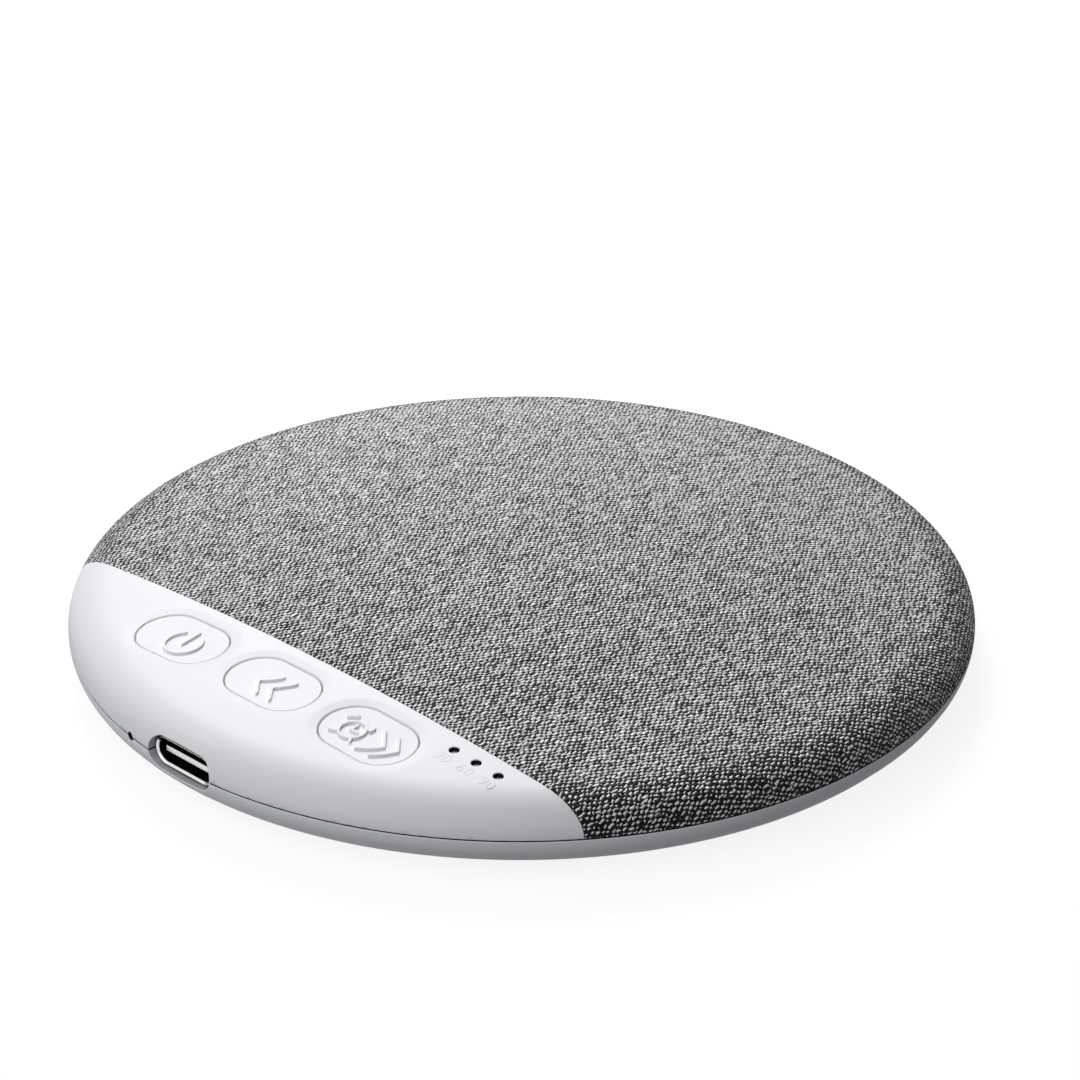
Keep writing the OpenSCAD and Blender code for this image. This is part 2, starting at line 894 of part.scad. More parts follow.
module usb_contacts() {
    count = 12;
    pitch = 0.5;
    contact_l = port_l - insulator_base - tongue_recess - contact_inset - contact_clear;
    contact = [0.25, contact_l, 0.06];
    contact_y = port_front + tongue_recess + contact_inset;
    color("#caa24a")
    for (i = [0 : count - 1])
        for (z = [port_z + tongue_t / 2, port_z - tongue_t / 2 - contact[2]])
            translate([(i - (count - 1) / 2) * pitch - contact[0] / 2, contact_y, z])
                cube(contact);
}

// ---- Lamps -------------------------------------------------------------------------------------

module timer_lamps() {
    color("#f4f0c8")
    for (i = [0 : 2])
        translate([lamp_x0 + i * lamp_pitch - lamp_size[0] / 2, lamp_y - lamp_size[1] / 2, board_top])
            cube(lamp_size);
}

module timer_light_guide() {
    bar_front = lamp_y - guide_bar_w / 2;
    bar_back = min(lamp_y + guide_bar_w / 2, panel_y - rib_t - guide_fit);
    bar_top = crown_z(norm([lamp_x0 + 2 * lamp_pitch + 1, bar_front]), panel_wall) - 0.05;
    color("#3c4046") {
        for (i = [0 : 2])
            intersection() {
                translate([lamp_x0 + i * lamp_pitch, lamp_y, board_top + lamp_size[2] + guide_lift])
                    cylinder(r = guide_r, h = far);
                union() {
                    crown_fill(guide_recess, seam_z);
                    translate([0, -far, 0])
                        cube([far, far, seam_z + 0.5]);
                }
            }
        translate([lamp_x0 - 1, bar_front, bar_top - guide_bar_t])
            cube([2 * lamp_pitch + 2, bar_back - bar_front, guide_bar_t]);
    }
}

module charge_lamp() {
    color("#f4f0c8")
    translate([-charge_x - lamp_size[0] / 2, charge_block_y + charge_block[1], board_top])
        cube([lamp_size[0], lamp_size[1], 2 * (charge_z - board_top)]);
}

module charge_light_guide() {
    tip = -sqrt(case_r * case_r - charge_x * charge_x) + guide_recess;
    color("#cfd6dc") {
        translate([-charge_x - charge_block[0] / 2, charge_block_y, board_top])
            cube(charge_block);
        translate([-charge_x, charge_block_y + bite, charge_z])
            rotate([90, 0, 0])
                cylinder(r = charge_hole_d / 2 - guide_fit, h = charge_block_y + bite - tip);
    }
}

// ---- Battery -----------------------------------------------------------------------------------

module battery_cell() {
    fold = 0.8;
    fold_in = 1;
    fold_rise = 0.6;
    color("#b9bdc4") {
        translate([-battery_l / 2, battery_front + fold, battery_z])
            cube([battery_l, battery_w - fold, battery_t]);
        // Folded seal at the front
        translate([-battery_l / 2 + fold_in, battery_front, battery_z + fold_rise])
            cube([battery_l - 2 * fold_in, fold + bite, battery_t - 2 * fold_rise]);
    }
}

module battery_pad() {
    color("#e8e4d2")
    translate([-battery_l / 2 + pad_inset[0], battery_front + pad_inset[1], floor_z])
        cube([battery_l - 2 * pad_inset[0], battery_w - 2 * pad_inset[1], pad_t]);
}

module battery_socket() {
    color("#e6e4dc")
    translate([socket_x - socket_size[0] / 2, socket_y - socket_size[1] / 2, board_top])
        difference() {
            cube(socket_size);
            translate([socket_wall, socket_wall, socket_wall])
                cube([socket_size[0] - 2 * socket_wall, socket_size[1], socket_size[2] - 2 * socket_wall]);
        }
}

module battery_leads() {
    cell_mid = battery_front + battery_w / 2;
    z0 = battery_z + battery_t / 2;
    z1 = board_top + socket_size[2] / 2;
    colors = ["#c22b22", "#1a1a1a"];
    for (i = [0, 1]) {
        y0 = cell_mid + (i - 0.5) * 5;
        run_x = lead_line + i * lead_gap;
        end_x = socket_x + (0.5 - i) * lead_gap;
        color(colors[i])
        sweep([
            [-battery_l / 2 - 0.02, y0, z0],
            [-battery_l / 2 - 0.45, y0, z0],
            [-run_x + 0.12, y0 - 0.9, z0],
            [-run_x, y0 - 2, z0],
            [-run_x, battery_front + 1, z0],
            [(end_x - run_x) / 2, board_back + 1, (z0 + z1) / 2 + 0.2],
            [end_x, board_back - 0.6, z1],
            [end_x, socket_y + socket_size[1] / 2 - 1.2, z1]
        ], lead_r);
    }
}

// ---- Loudspeaker -------------------------------------------------------------------------------

module turned(points) {
    translate([0, speaker_y, 0])
        rotate_extrude()
            polygon(points);
}

module speaker_basket() {
    vents = 6;
    vent_r = 2.2;
    side = speaker_r - basket_t;
    color("#2b2d31")
    difference() {
        turned([
            [yoke_r + 0.05, basket_floor], [speaker_r, basket_floor], [speaker_r, flange_z],
            [speaker_r - basket_flange_w, flange_z], [speaker_r - basket_flange_w, flange_z - basket_t],
            [side, flange_z - basket_t], [side, basket_floor + basket_t],
            [yoke_r + 0.05, basket_floor + basket_t]
        ]);
        for (i = [0 : vents - 1])
            translate([0, speaker_y, 0])
                rotate(30 + i * 360 / vents)
                    translate([(yoke_r + side) / 2, 0, basket_floor - past])
                        cylinder(r = vent_r, h = basket_t + 2 * past);
    }
}

// Cup whose rim comes in close round the voice coil
module speaker_yoke() {
    color("#9a9da2")
    turned([
        [0, yoke_z], [yoke_r, yoke_z], [yoke_r, yoke_top], [gap_r, yoke_top], [gap_r, pole_z],
        [yoke_r - yoke_wall, pole_z], [yoke_r - yoke_wall, magnet_z], [0, magnet_z]
    ]);
}

module speaker_magnet() {
    color("#6f7277")
    translate([0, speaker_y, magnet_z])
        cylinder(d = magnet_d, h = magnet_t);
}

module pole_plate() {
    color("#8f9297")
    translate([0, speaker_y, pole_z])
        cylinder(r = pole_r, h = pole_t);
}

module voice_coil() {
    color("#b4652a")
    translate([0, speaker_y, cone_base - coil_l])
        tube(coil_r + coil_t, coil_r, coil_l);
}

module speaker_cone() {
    land = 0.6;
    color("#26272a")
    turned([
        [coil_r, cone_base], [coil_r + neck_w, cone_base], [cone_edge_r - land, flange_z - cone_t],
        [cone_edge_r, flange_z - cone_t], [cone_edge_r, flange_z], [cone_edge_r - land, flange_z],
        [coil_r + neck_w, cone_base + cone_t], [coil_r, cone_base + cone_t]
    ]);
}

module dust_cap() {
    z = cone_base + cone_t;
    out = coil_r + 0.3;
    rise = 0.7;
    color("#303236")
    turned([
        [0, z + rise], [out * 0.5, z + rise * 0.75], [out - 0.35, z], [out, z],
        [out * 0.55, z + 0.2 + rise * 0.78], [0, z + 0.25 + rise]
    ]);
}

module cone_surround() {
    inner_r = roll_r - foot_pad_t;
    outer_arc = [for (i = [0 : 9]) [roll_mid + roll_r * cos(20 * i), flange_z + roll_r * sin(20 * i)]];
    inner_arc = [for (i = [9 : -1 : 0]) [roll_mid + inner_r * cos(20 * i), flange_z + inner_r * sin(20 * i)]];
    color("#1c1d1f")
    turned(concat(
        [[roll_mid + roll_r + roll_foot, flange_z],
         [roll_mid + roll_r + roll_foot, flange_z + foot_pad_t],
         [roll_mid + roll_r, flange_z + foot_pad_t]],
        [for (i = [1 : 8]) outer_arc[i]],
        [[roll_mid - roll_r, flange_z + foot_pad_t],
         [roll_mid - roll_r - roll_foot, flange_z + foot_pad_t],
         [roll_mid - roll_r - roll_foot, flange_z]],
        inner_arc
    ));
}

module speaker_gasket() {
    color("#44464a")
    translate([0, speaker_y, flange_z])
        tube(speaker_r - 0.05, gasket_in, gasket_t);
}

module speaker_tab() {
    color("#a8742f")
    translate([speaker_r + 0.02, speaker_y - tab_size[1] / 2, tab_z])
        cube(tab_size);
}

module speaker_leads() {
    tab_under = tab_z - lead_r;
    low_z = floor_z + lead_r + 0.05;
    over_z = foot_pad_top + lead_r + 0.05;
    pad_z = board_top + lead_r;
    colors = ["#c22b22", "#1a1a1a"];
    for (i = [0, 1]) {
        x = lead_line + i * lead_gap;
        x_tab = speaker_r + 0.9 + i * lead_gap * 0.8;
        color(colors[i])
        sweep([
            [x_tab, speaker_y + 1.6, tab_under],
            [x_tab, speaker_y - 2.2, tab_under],
            [x, speaker_y - 5.5, (tab_under + low_z) / 2],
            [x, speaker_y - 9, low_z],
            [x, foot_y + foot_pad_r + 2.4, low_z],
            [x, foot_y + foot_pad_r + 0.6, over_z],
            [x, foot_y, over_z + 0.2],
            [x, board_back + 0.8, pad_z - 0.05],
            [x, board_back - 0.6, pad_z + 0.05],
            [x, board_back - 1.6, pad_z + 0.02]
        ], lead_r);
    }
}

module speaker_foam() {
    color("#3a3b3e")
    translate([0, speaker_y, floor_z])
        cylinder(r = yoke_r - 0.4, h = foam_t);
}

// ---- Screws and feet ---------------------------------------------------------------------------

module case_screws() {
    color("#b9bcc1")
    for (p = foot_spots)
        translate([p[0], p[1], head_z]) {
            cylinder(d = head_d, h = head_h);
            cylinder(d = screw_d, h = head_h + screw_l);
        }
}

module rubber_feet() {
    color("#c9cbd0")
    for (p = foot_spots)
        translate([p[0], p[1], 0])
            cylinder(r = foot_r, h = foot_t);
}

bottom_shell();
control_panel();
grille_plate();
speaker_cloth();
power_button();
back_button();
next_button();
power_plunger();
back_plunger();
next_plunger();
power_switch();
back_switch();
next_switch();
main_board();
board_screws();
control_chip();
amplifier_chip();
memory_chip();
board_parts();
usb_shell();
usb_insulator();
usb_contacts();
timer_lamps();
timer_light_guide();
charge_lamp();
charge_light_guide();
battery_cell();
battery_pad();
battery_socket();
battery_leads();
speaker_basket();
speaker_yoke();
speaker_magnet();
pole_plate();
voice_coil();
speaker_cone();
dust_cap();
cone_surround();
speaker_gasket();
speaker_tab();
speaker_leads();
speaker_foam();
case_screws();
rubber_feet();
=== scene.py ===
"""Bedside white noise sound machine: a thin round case with a woven speaker cloth, a satin white control
panel with three button caps, timer lamps and a charging port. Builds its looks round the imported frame."""

import json
import math
from functools import partial

import bpy
import numpy as np
from bpy.props import FloatProperty, FloatVectorProperty, PointerProperty
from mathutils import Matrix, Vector
from mathutils.geometry import delaunay_2d_cdt


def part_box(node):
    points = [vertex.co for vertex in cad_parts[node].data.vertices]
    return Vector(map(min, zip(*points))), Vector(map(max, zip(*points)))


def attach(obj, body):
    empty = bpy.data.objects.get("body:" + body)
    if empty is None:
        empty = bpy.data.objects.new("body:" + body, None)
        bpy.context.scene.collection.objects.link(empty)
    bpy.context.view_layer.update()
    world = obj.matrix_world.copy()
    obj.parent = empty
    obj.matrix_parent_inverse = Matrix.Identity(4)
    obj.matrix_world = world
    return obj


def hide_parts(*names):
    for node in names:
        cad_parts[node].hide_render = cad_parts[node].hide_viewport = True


bl_info = {
    "name": "Sound machine",
    "version": (1, 0, 0),
    "blender": (4, 5, 0),
    "location": "3D Viewport > Sidebar > Sound machine",
    "description": "Builds the cloth-covered sound machine piece by piece",
    "category": "Add Mesh",
}

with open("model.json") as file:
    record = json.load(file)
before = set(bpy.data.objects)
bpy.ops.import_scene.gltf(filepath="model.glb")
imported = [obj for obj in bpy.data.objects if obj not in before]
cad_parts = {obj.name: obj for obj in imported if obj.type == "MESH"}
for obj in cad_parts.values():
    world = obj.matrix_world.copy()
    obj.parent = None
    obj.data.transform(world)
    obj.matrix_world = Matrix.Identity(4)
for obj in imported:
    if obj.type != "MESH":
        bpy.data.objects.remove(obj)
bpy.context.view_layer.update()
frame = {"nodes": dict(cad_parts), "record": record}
MM = 0.001
BODY = "case"


def box_mm(node):
    """Lowest and highest corner of a CAD node in millimetres."""
    low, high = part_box(node)
    return np.array(low) / MM, np.array(high) / MM


def linear(code):
    """Linear red, green and blue of an sRGB hex colour."""
    parts = [int(code[i : i + 2], 16) / 255 for i in (1, 3, 5)]
    return tuple(p / 12.92 if p <= 0.04045 else ((p + 0.055) / 1.055) ** 2.4 for p in parts)


CLOTH_LOW, CLOTH_HIGH = box_mm("speaker_cloth")
SHELL_LOW, _ = box_mm("bottom_shell")
POWER_LOW, POWER_HIGH = box_mm("power_button")
NEXT_LOW, _ = box_mm("next_button")
BACK_LOW, BACK_HIGH = box_mm("back_button")
PORT_LOW, PORT_HIGH = box_mm("usb_insulator")
STEEL_LOW, STEEL_HIGH = box_mm("usb_shell")
GUIDE_LOW, GUIDE_HIGH = box_mm("charge_light_guide")
LAMP_LOW, LAMP_HIGH = box_mm("timer_lamps")
_, FEET_HIGH = box_mm("rubber_feet")
FOOT_RADIUS = 4.0
FOOT_CLEARANCE = 0.15
FOOT_RECESS = FOOT_RADIUS + FOOT_CLEARANCE
FOOT_DEPTH = FEET_HIGH[2] - SHELL_LOW[2]
FOOT_SPOTS = [(x * (FEET_HIGH[0] - FOOT_RADIUS), y * (FEET_HIGH[1] - FOOT_RADIUS))
              for x in (-1, 1) for y in (-1, 1)]
GUIDE_X = (GUIDE_LOW[0] + GUIDE_HIGH[0]) / 2
PIN_DROP = 0.06  # the charge lamp's hole has its centre this far under the upper half's edge
PIN_Z = CLOTH_LOW[2] - PIN_DROP
ANY_SIDE = -60  # lowest value of a place that may lie on either side of the middle


# ---- Sizes and colours ---------------------------------------------------------------------------


def size(name, description, default, low=0.0):
    """A length in millimetres that the sidebar shows."""
    return FloatProperty(name=name, description=description, default=float(default), min=low, precision=3)


def colour(name, description, code):
    """A colour swatch whose default is an sRGB hex value."""
    return FloatVectorProperty(
        name=name, description=description, subtype="COLOR", size=3, min=0, max=1, default=linear(code)
    )


class CaseSizes(bpy.types.PropertyGroup):
    """Sizes of the case, in millimetres."""

    radius: size("Radius", "Outside radius of the case", CLOTH_HIGH[0])
    seam_z: size("Parting line", "Height of the parting line above the floor", CLOTH_LOW[2])
    top_z: size("Top", "Height of the middle of the dome", CLOTH_HIGH[2])
    dome_rise: size("Dome rise", "Rise of the dome over the full radius", 3.1)
    rim_width: size("Rim width", "Width of the rolled rim", 4.4)
    rim_height: size("Rim height", "Height of the rolled rim", 3.85)
    base_z: size("Base", "Height of the flat base above the floor", SHELL_LOW[2])
    base_width: size("Base edge", "Width of the lower shell's rolled edge", 5.4)
    split_gap: size("Parting gap", "Dark gap at the parting line", 0.15)
    panel_wall: size("Panel wall", "Wall of the control panel", 1.4)
    base_wall: size("Base wall", "Wall of the lower shell", 1.2)
    panel_y: size("Cloth edge", "Place of the panel's straight edge", CLOTH_LOW[1] - 0.05, ANY_SIDE)
    edge_round: size("Edge radius", "Radius of the moulded edges", 0.08)


class ButtonSizes(bpy.types.PropertyGroup):
    """Sizes of the button caps, in millimetres."""

    length: size("Length", "Length of a cap", 11.5)
    width: size("Width", "Width of a cap", 7.3)
    gap: size("Gap", "Gap round a cap", 0.12)
    pitch: size("Pitch", "Spacing of the caps", 14.5)
    shift: size("Shift", "Place of the middle cap beside the case's middle",
                (BACK_LOW[0] + BACK_HIGH[0]) / 2, ANY_SIDE)
    centre_y: size("Place", "Place of the caps' centre line", (POWER_LOW[1] + POWER_HIGH[1]) / 2, ANY_SIDE)
    edge_round: size("Edge radius", "Radius of a cap's edge", 0.09)
    dish_width: size("Dish width", "Width of the shallow slope round a cap", 1.15)
    dish_depth: size("Dish depth", "Depth of the shallow slope round a cap", 0.15)
    sunk: size("Sunk", "How far a cap's edge sits under the panel's", 0.06)
    hollow: size("Hollow", "Depth of the finger hollow in a cap", 0.1)
    symbol_height: size("Symbol height", "Height of the raised symbols", 0.24)
    symbol_width: size("Symbol stroke", "Stroke of the raised symbols", 0.3)
    symbol_shift: size("Symbol place", "How far the symbols stand beside a cap's middle", -0.18, ANY_SIDE)
    flange_width: size("Flange width", "Width of the flange under the panel", 0.6)
    flange_height: size("Flange height", "Thickness of the flange", 0.7)
    post_radius: size("Post radius", "Radius of the post that presses the switch", 1.3)


class PortSizes(bpy.types.PropertyGroup):
    """Sizes of the charging port and the lamp holes, in millimetres."""

    opening_length: size("Opening length", "Length of the opening in the case", 9.6)
    opening_height: size("Opening height", "Height of the opening in the case", 3.72)
    opening_z: size("Opening place", "Height of the opening's centre", (PORT_LOW[2] + PORT_HIGH[2]) / 2)
    tunnel_depth: size("Tunnel depth", "Depth of the opening's wall", 3.25)
    shell_length: size("Shell length", "Length of the steel shell's mouth", 8.94)
    shell_height: size("Shell height", "Height of the steel shell's mouth", 3.16)
    sheet: size("Shell sheet", "Sheet thickness of the steel shell", 0.3)
    tongue_length: size("Tongue length", "Length of the tongue in the port", 6.69)
    tongue_height: size("Tongue height", "Thickness of the tongue in the port", 0.7)
    lamp_hole: size("Lamp hole", "Diameter of a timer lamp's hole", 1.1)
    lamp_pitch: size("Lamp spacing", "Spacing of the timer lamps", 3.15)
    lamp_inset: size("Lamp inset", "Distance of the timer lamps from the cloth's edge", 2.12)
    pinhole: size("Charge hole", "Diameter of the charge lamp's hole", 1.0)
    digit_height: size("Numeral height", "Height of the numerals beside the lamps", 1.2)
    digit_pitch: size("Numeral spacing", "Spacing of the two numerals of a number", 1.04)
    digit_drop: size("Numeral place", "Distance of the numerals before their lamp", 1.6)
    digit_stroke: size("Numeral stroke", "Stroke of the numerals", 0.09)


class Finishes(bpy.types.PropertyGroup):
    """Colours of the pieces that show, and the real thread spacing of the cloth."""

    case: colour("Case", "White ABS of the panel, caps and lower shell", "#F1F2F6")
    print_ink: colour("Print", "Pad-printed numerals", "#E5E6EA")
    light_yarn: colour("Light yarn", "White yarn of the speaker cloth", "#F3F3F4")
    dark_yarn: colour("Dark yarn", "Black yarn of the speaker cloth", "#121315")
    steel: colour("Steel", "Nickel-plated steel of the port", "#FBFBFC")
    rubber: colour("Rubber", "Rubber of the feet", "#B9BBC1")
    warp_pitch: size("Warp spacing", "Spacing of the threads that run from front to back", 0.308)
    weft_pitch: size("Weft spacing", "Spacing of the threads that run from side to side", 0.48)


# ---- Mesh code -----------------------------------------------------------------------------------


class Section:
    """One side of the case's section from the axis outward, read by its arc length."""

    def __init__(self, r, z, out):
        self.r, self.z = np.array(r), np.array(z)
        step = np.hypot(np.diff(self.r), np.diff(self.z))
        self.s = np.concatenate([[0.0], np.cumsum(step)])
        self.length = self.s[-1]
        along_r, along_z = np.gradient(self.r, self.s), np.gradient(self.z, self.s)
        long = np.hypot(along_r, along_z)
        self.normal_r, self.normal_z = -out * along_z / long, out * along_r / long

    def unroll(self, plan):
        """Flattens plan points, so that distances along each radius stay true."""
        plan = np.asarray(plan, float)
        r = np.maximum(np.hypot(plan[:, 0], plan[:, 1]), 1e-9)
        return plan * (np.interp(r, self.r, self.s) / r)[:, None]

    def place_on_edge(self, x, z, rising):
        """Flattened point of the rolled edge's front at x and height z."""
        s = np.interp(z if rising else -np.asarray(z), self.z if rising else -self.z, self.s)
        r = np.interp(s, self.s, self.r)
        y = -np.sqrt(np.maximum(r * r - np.square(x), 0))
        return np.stack([x, y], 1) * (s / r)[:, None]

    def lift(self, flat, depth=0.0):
        """Points of the surface over the flattened ones, depth under it."""
        s = np.hypot(flat[:, 0], flat[:, 1])
        turn = flat / np.maximum(s, 1e-9)[:, None]
        r = np.interp(s, self.s, self.r) - depth * np.interp(s, self.s, self.normal_r)
        z = np.interp(s, self.s, self.z) - depth * np.interp(s, self.s, self.normal_z)
        return np.column_stack([turn * r[:, None], z])


DOME_STEPS, BASE_STEPS, ROLL_STEPS = 300, 120, 260


def crown_section(case):
    """Outer line of the dome and its rolled rim, down to the parting line."""
    rim_r = case.radius - case.rim_width
    dome_r = case.radius**2 / (2 * case.dome_rise)
    r = np.linspace(0, rim_r, DOME_STEPS)
    z = case.top_z - r * r / (2 * dome_r)
    a = np.linspace(0, math.pi / 2, ROLL_STEPS)[1:]
    out = case.rim_width * np.sin(a)
    rim_z = case.seam_z + case.rim_height * np.cos(a) - rim_r / dome_r * out * (1 - np.sin(a))
    return Section(np.append(r, rim_r + out), np.append(z, rim_z), 1)


def base_section(case):
    """Outer line of the lower shell from its flat base to the parting line."""
    base_r = case.radius - case.base_width
    edge_z = case.seam_z - case.split_gap
    a = np.linspace(0, math.pi / 2, ROLL_STEPS)
    r = np.append(np.linspace(0, base_r, BASE_STEPS)[:-1], base_r + case.base_width * np.sin(a))
    z = np.append(np.full(BASE_STEPS - 1, case.base_z), edge_z - (edge_z - case.base_z) * np.cos(a))
    return Section(r, z, -1)


def dome_z(case, plan):
    """Height of the dome over plan points."""
    dome_r = case.radius**2 / (2 * case.dome_rise)
    return case.top_z - np.square(plan).sum(1) / (2 * dome_r)


def stadium(length, width, grow, count):
    """Long hole outline round the origin, anticlockwise, with its points evenly spaced."""
    side, radius = length - width, width / 2 + grow
    end = math.pi * radius
    at = np.arange(count) / count * 2 * (side + end)
    second = at >= end + side
    at = np.where(second, at - end - side, at)
    turn = np.minimum(at, end) / radius - math.pi / 2
    half = np.stack([side / 2 + radius * np.cos(turn) - np.maximum(at - end, 0), radius * np.sin(turn)], 1)
    return np.where(second[:, None], -half, half)


def stadium_distance(plan, length, width):
    """Distance of points outside a long hole outline round the origin, negative inside."""
    x = np.maximum(np.abs(plan[:, 0]) - (length - width) / 2, 0)
    return np.hypot(x, plan[:, 1]) - width / 2


def area(outline):
    """Area inside a closed outline, negative if it runs clockwise."""
    outline = np.asarray(outline, float)
    ahead = np.roll(outline, -1, 0)
    return (outline[:, 0] * ahead[:, 1] - outline[:, 1] * ahead[:, 0]).sum() / 2


def circle(radius, count, centre=(0.0, 0.0)):
    """Circle outline, anticlockwise."""
    a = np.arange(count) * 2 * math.pi / count
    return np.stack([centre[0] + radius * np.cos(a), centre[1] + radius * np.sin(a)], 1)


def round_over(distance, radius):
    """How far a rounded edge falls at a distance from the edge."""
    near = np.clip(radius - distance, 0, radius)
    return radius - np.sqrt(radius**2 - near**2)


def inside(points, outline):
    """True for the points that lie inside a closed outline."""
    a, b = outline, np.roll(outline, -1, axis=0)
    found = np.zeros(len(points), bool)
    for (ax, ay), (bx, by) in zip(a, b):
        if ay != by:
            crosses = (ay > points[:, 1]) != (by > points[:, 1])
            found ^= crosses & (points[:, 0] < (bx - ax) * (points[:, 1] - ay) / (by - ay) + ax)
    return found


def fill(outline, holes, spots):
    """Triangles between closed outlines, through loose spots."""
    loops = [outline, *holes]
    edges, start = [], 0
    for loop in loops:
        n = len(loop)
        edges += [(start + i, start + (i + 1) % n) for i in range(n)]
        start += n
    points = np.concatenate([*loops, spots]) if len(spots) else np.concatenate(loops)
    found, _, faces, *_ = delaunay_2d_cdt([Vector(p) for p in points.tolist()], edges, [], 0, 1e-6)
    points = np.array([tuple(p) for p in found])
    triangles = np.array([f for f in faces if len(f) == 3])
    centre = points[triangles].mean(1)
    keep = inside(centre, outline)
    for hole in holes:
        keep &= ~inside(centre, hole)
    triangles = triangles[keep]
    a, b, c = (points[triangles[:, i]] for i in range(3))
    turn = (b - a)[:, 0] * (c - a)[:, 1] - (b - a)[:, 1] * (c - a)[:, 0]
    triangles = np.where(turn[:, None] < 0, triangles[:, ::-1], triangles)
    triangles = triangles[np.abs(turn) > 1e-9]
    used, triangles = np.unique(triangles, return_inverse=True)
    return points[used], triangles.reshape(-1, 3)


def closed_shell(outer, inner, triangles):
    """Solid between two skins that share their triangles."""
    n = len(outer)
    ways = {(int(a), int(b)) for t in triangles for a, b in zip(t, np.roll(t, -1))}
    rim = [(b, a, a + n, b + n) for a, b in ways if (b, a) not in ways]
    faces = [tuple(map(int, t)) for t in triangles]
    faces += [tuple(int(v) + n for v in t[::-1]) for t in triangles] + rim
    return np.concatenate([outer, inner]), faces


def loft(loops, joined=False):
    """Skin through loops of equally many points: closed on itself if joined, and capped otherwise."""
    count, n = len(loops), len(loops[0])
    faces = []
    for i in range(count if joined else count - 1):
        a, b = i * n, (i + 1) % count * n
        faces += [(a + k, a + (k + 1) % n, b + (k + 1) % n, b + k) for k in range(n)]
    if not joined:
        faces += [tuple(range(n))[::-1], tuple(range((count - 1) * n, count * n))]
    return np.concatenate(loops), faces


def lathe(profile, centre, count, joined=False):
    """Solid of revolution of (radius, height) points about an upright axis."""
    loops = [np.column_stack([circle(r, count, centre), np.full(count, z)]) for r, z in profile]
    return loft(loops, joined)


def join(parts):
    """One set of points and faces from several."""
    points, faces, start = [], [], 0
    for p, f in parts:
        points.append(p)
        faces += [tuple(v + start for v in face) for face in f]
        start += len(p)
    return np.concatenate(points), faces


SHARP = math.radians(38)


def new_piece(name, points, faces, material, slot, body=BODY, replaces=()):
    """Mesh piece in place on its body, smooth but for its sharp edges."""
    mesh = bpy.data.meshes.new(name)
    mesh.from_pydata((np.asarray(points) * MM).tolist(), [], faces)
    mesh.validate()
    mesh.shade_smooth()
    mesh.set_sharp_from_angle(angle=SHARP)
    mesh.materials.append(material)
    piece = bpy.data.objects.new(name, mesh)
    bpy.context.scene.collection.objects.link(piece)
    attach(piece, body)
    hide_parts(*replaces)
    return piece


def dense(line, step):
    """Line with points added, so that no piece of it is longer than a step."""
    line = np.asarray(line, float)
    parts = [np.linspace(p, q, int(np.linalg.norm(q - p) / step) + 1, endpoint=False)
             for p, q in zip(line[:-1], line[1:])]
    return np.concatenate([*parts, line[-1:]])


def stroke(line, width, height, bevel, ground, closed=False, sink=0.05):
    """Raised stroke along a plan line, on ground(points), with a soft top edge and round ends."""
    line = np.asarray(line, float)
    after, before = np.roll(line, -1, 0) - line, line - np.roll(line, 1, 0)
    if not closed:
        after[-1], before[0] = before[-1], after[0]
    after /= np.linalg.norm(after, axis=1)[:, None]
    before /= np.linalg.norm(before, axis=1)[:, None]
    side = np.stack([-(after + before)[:, 1], (after + before)[:, 0]], 1)
    side /= np.linalg.norm(side, axis=1)[:, None]
    mitre = 1 / np.maximum((side * np.stack([-after[:, 1], after[:, 0]], 1)).sum(1), 0.4)
    half, soft = width / 2, 1 - 2 * bevel / width
    rings = [(p, s * m * half) for p, s, m in zip(line, side, mitre)]
    if not closed:
        ends = [(half * math.sin(t), half * math.cos(t)) for t in np.radians((30, 58, 80))]
        rings += [(line[-1] + after[-1] * out, side[-1] * reach) for out, reach in ends]
        rings[:0] = [(line[0] - after[0] * out, side[0] * reach) for out, reach in ends[::-1]]
    rows = [(-1, -sink), (-1, height - bevel), (-soft, height)]
    rows += [(-across, up) for across, up in rows[::-1]]
    loops = []
    for p, reach in rings:
        at = np.array([p + reach * across for across, _ in rows])
        loops.append(np.column_stack([at, ground(at) + [up for _, up in rows]]))
    points, faces = loft(loops, closed)
    return points, [f[::-1] for f in faces]


def raised(outline, height, bevel, ground, sink):
    """Raised flat shape inside a plan outline, on ground(points), with a soft top edge."""
    outline = np.asarray(outline, float)
    middle = outline.mean(0)
    inner = middle + (outline - middle) * (1 - bevel / np.linalg.norm(outline - middle, axis=1).mean())
    loops = [np.column_stack([at, ground(at) + up]) for at, up in
             ((outline, -sink), (outline, height - bevel), (inner, height))]
    return loft(loops)


def arc(radius, start, end, centre=(0.0, 0.0), count=40, tall=1.0):
    """Points of an arc from one angle to another, in degrees."""
    a = np.radians(np.linspace(start, end, count))
    return np.stack([centre[0] + radius * np.cos(a), centre[1] + tall * radius * np.sin(a)], 1)


# ---- Materials -----------------------------------------------------------------------------------


def add(tree, kind, sockets=None, **settings):
    """Adds a node with its settings. A socket gets a value, or a link from another node or its output."""
    node = tree.nodes.new(kind)
    for key, value in settings.items():
        setattr(node, key, value)
    for key, value in (sockets or {}).items():
        if isinstance(value, bpy.types.Node):
            value = next(output for output in value.outputs if output.enabled)
        if isinstance(value, bpy.types.NodeSocket):
            tree.links.new(value, node.inputs[key])
        else:
            node.inputs[key].default_value = value
    return node


def new_material(name):
    """Empty material and its node tree."""
    material = bpy.data.materials.new(name)
    material.use_nodes = True
    material.node_tree.nodes.clear()
    return material, material.node_tree


MOTTLE_SIZE = 14.0  # spacing of the faint unevenness of a moulded colour, in millimetres
GLOSS_SWING = 0.12  # share by which the grain changes the roughness


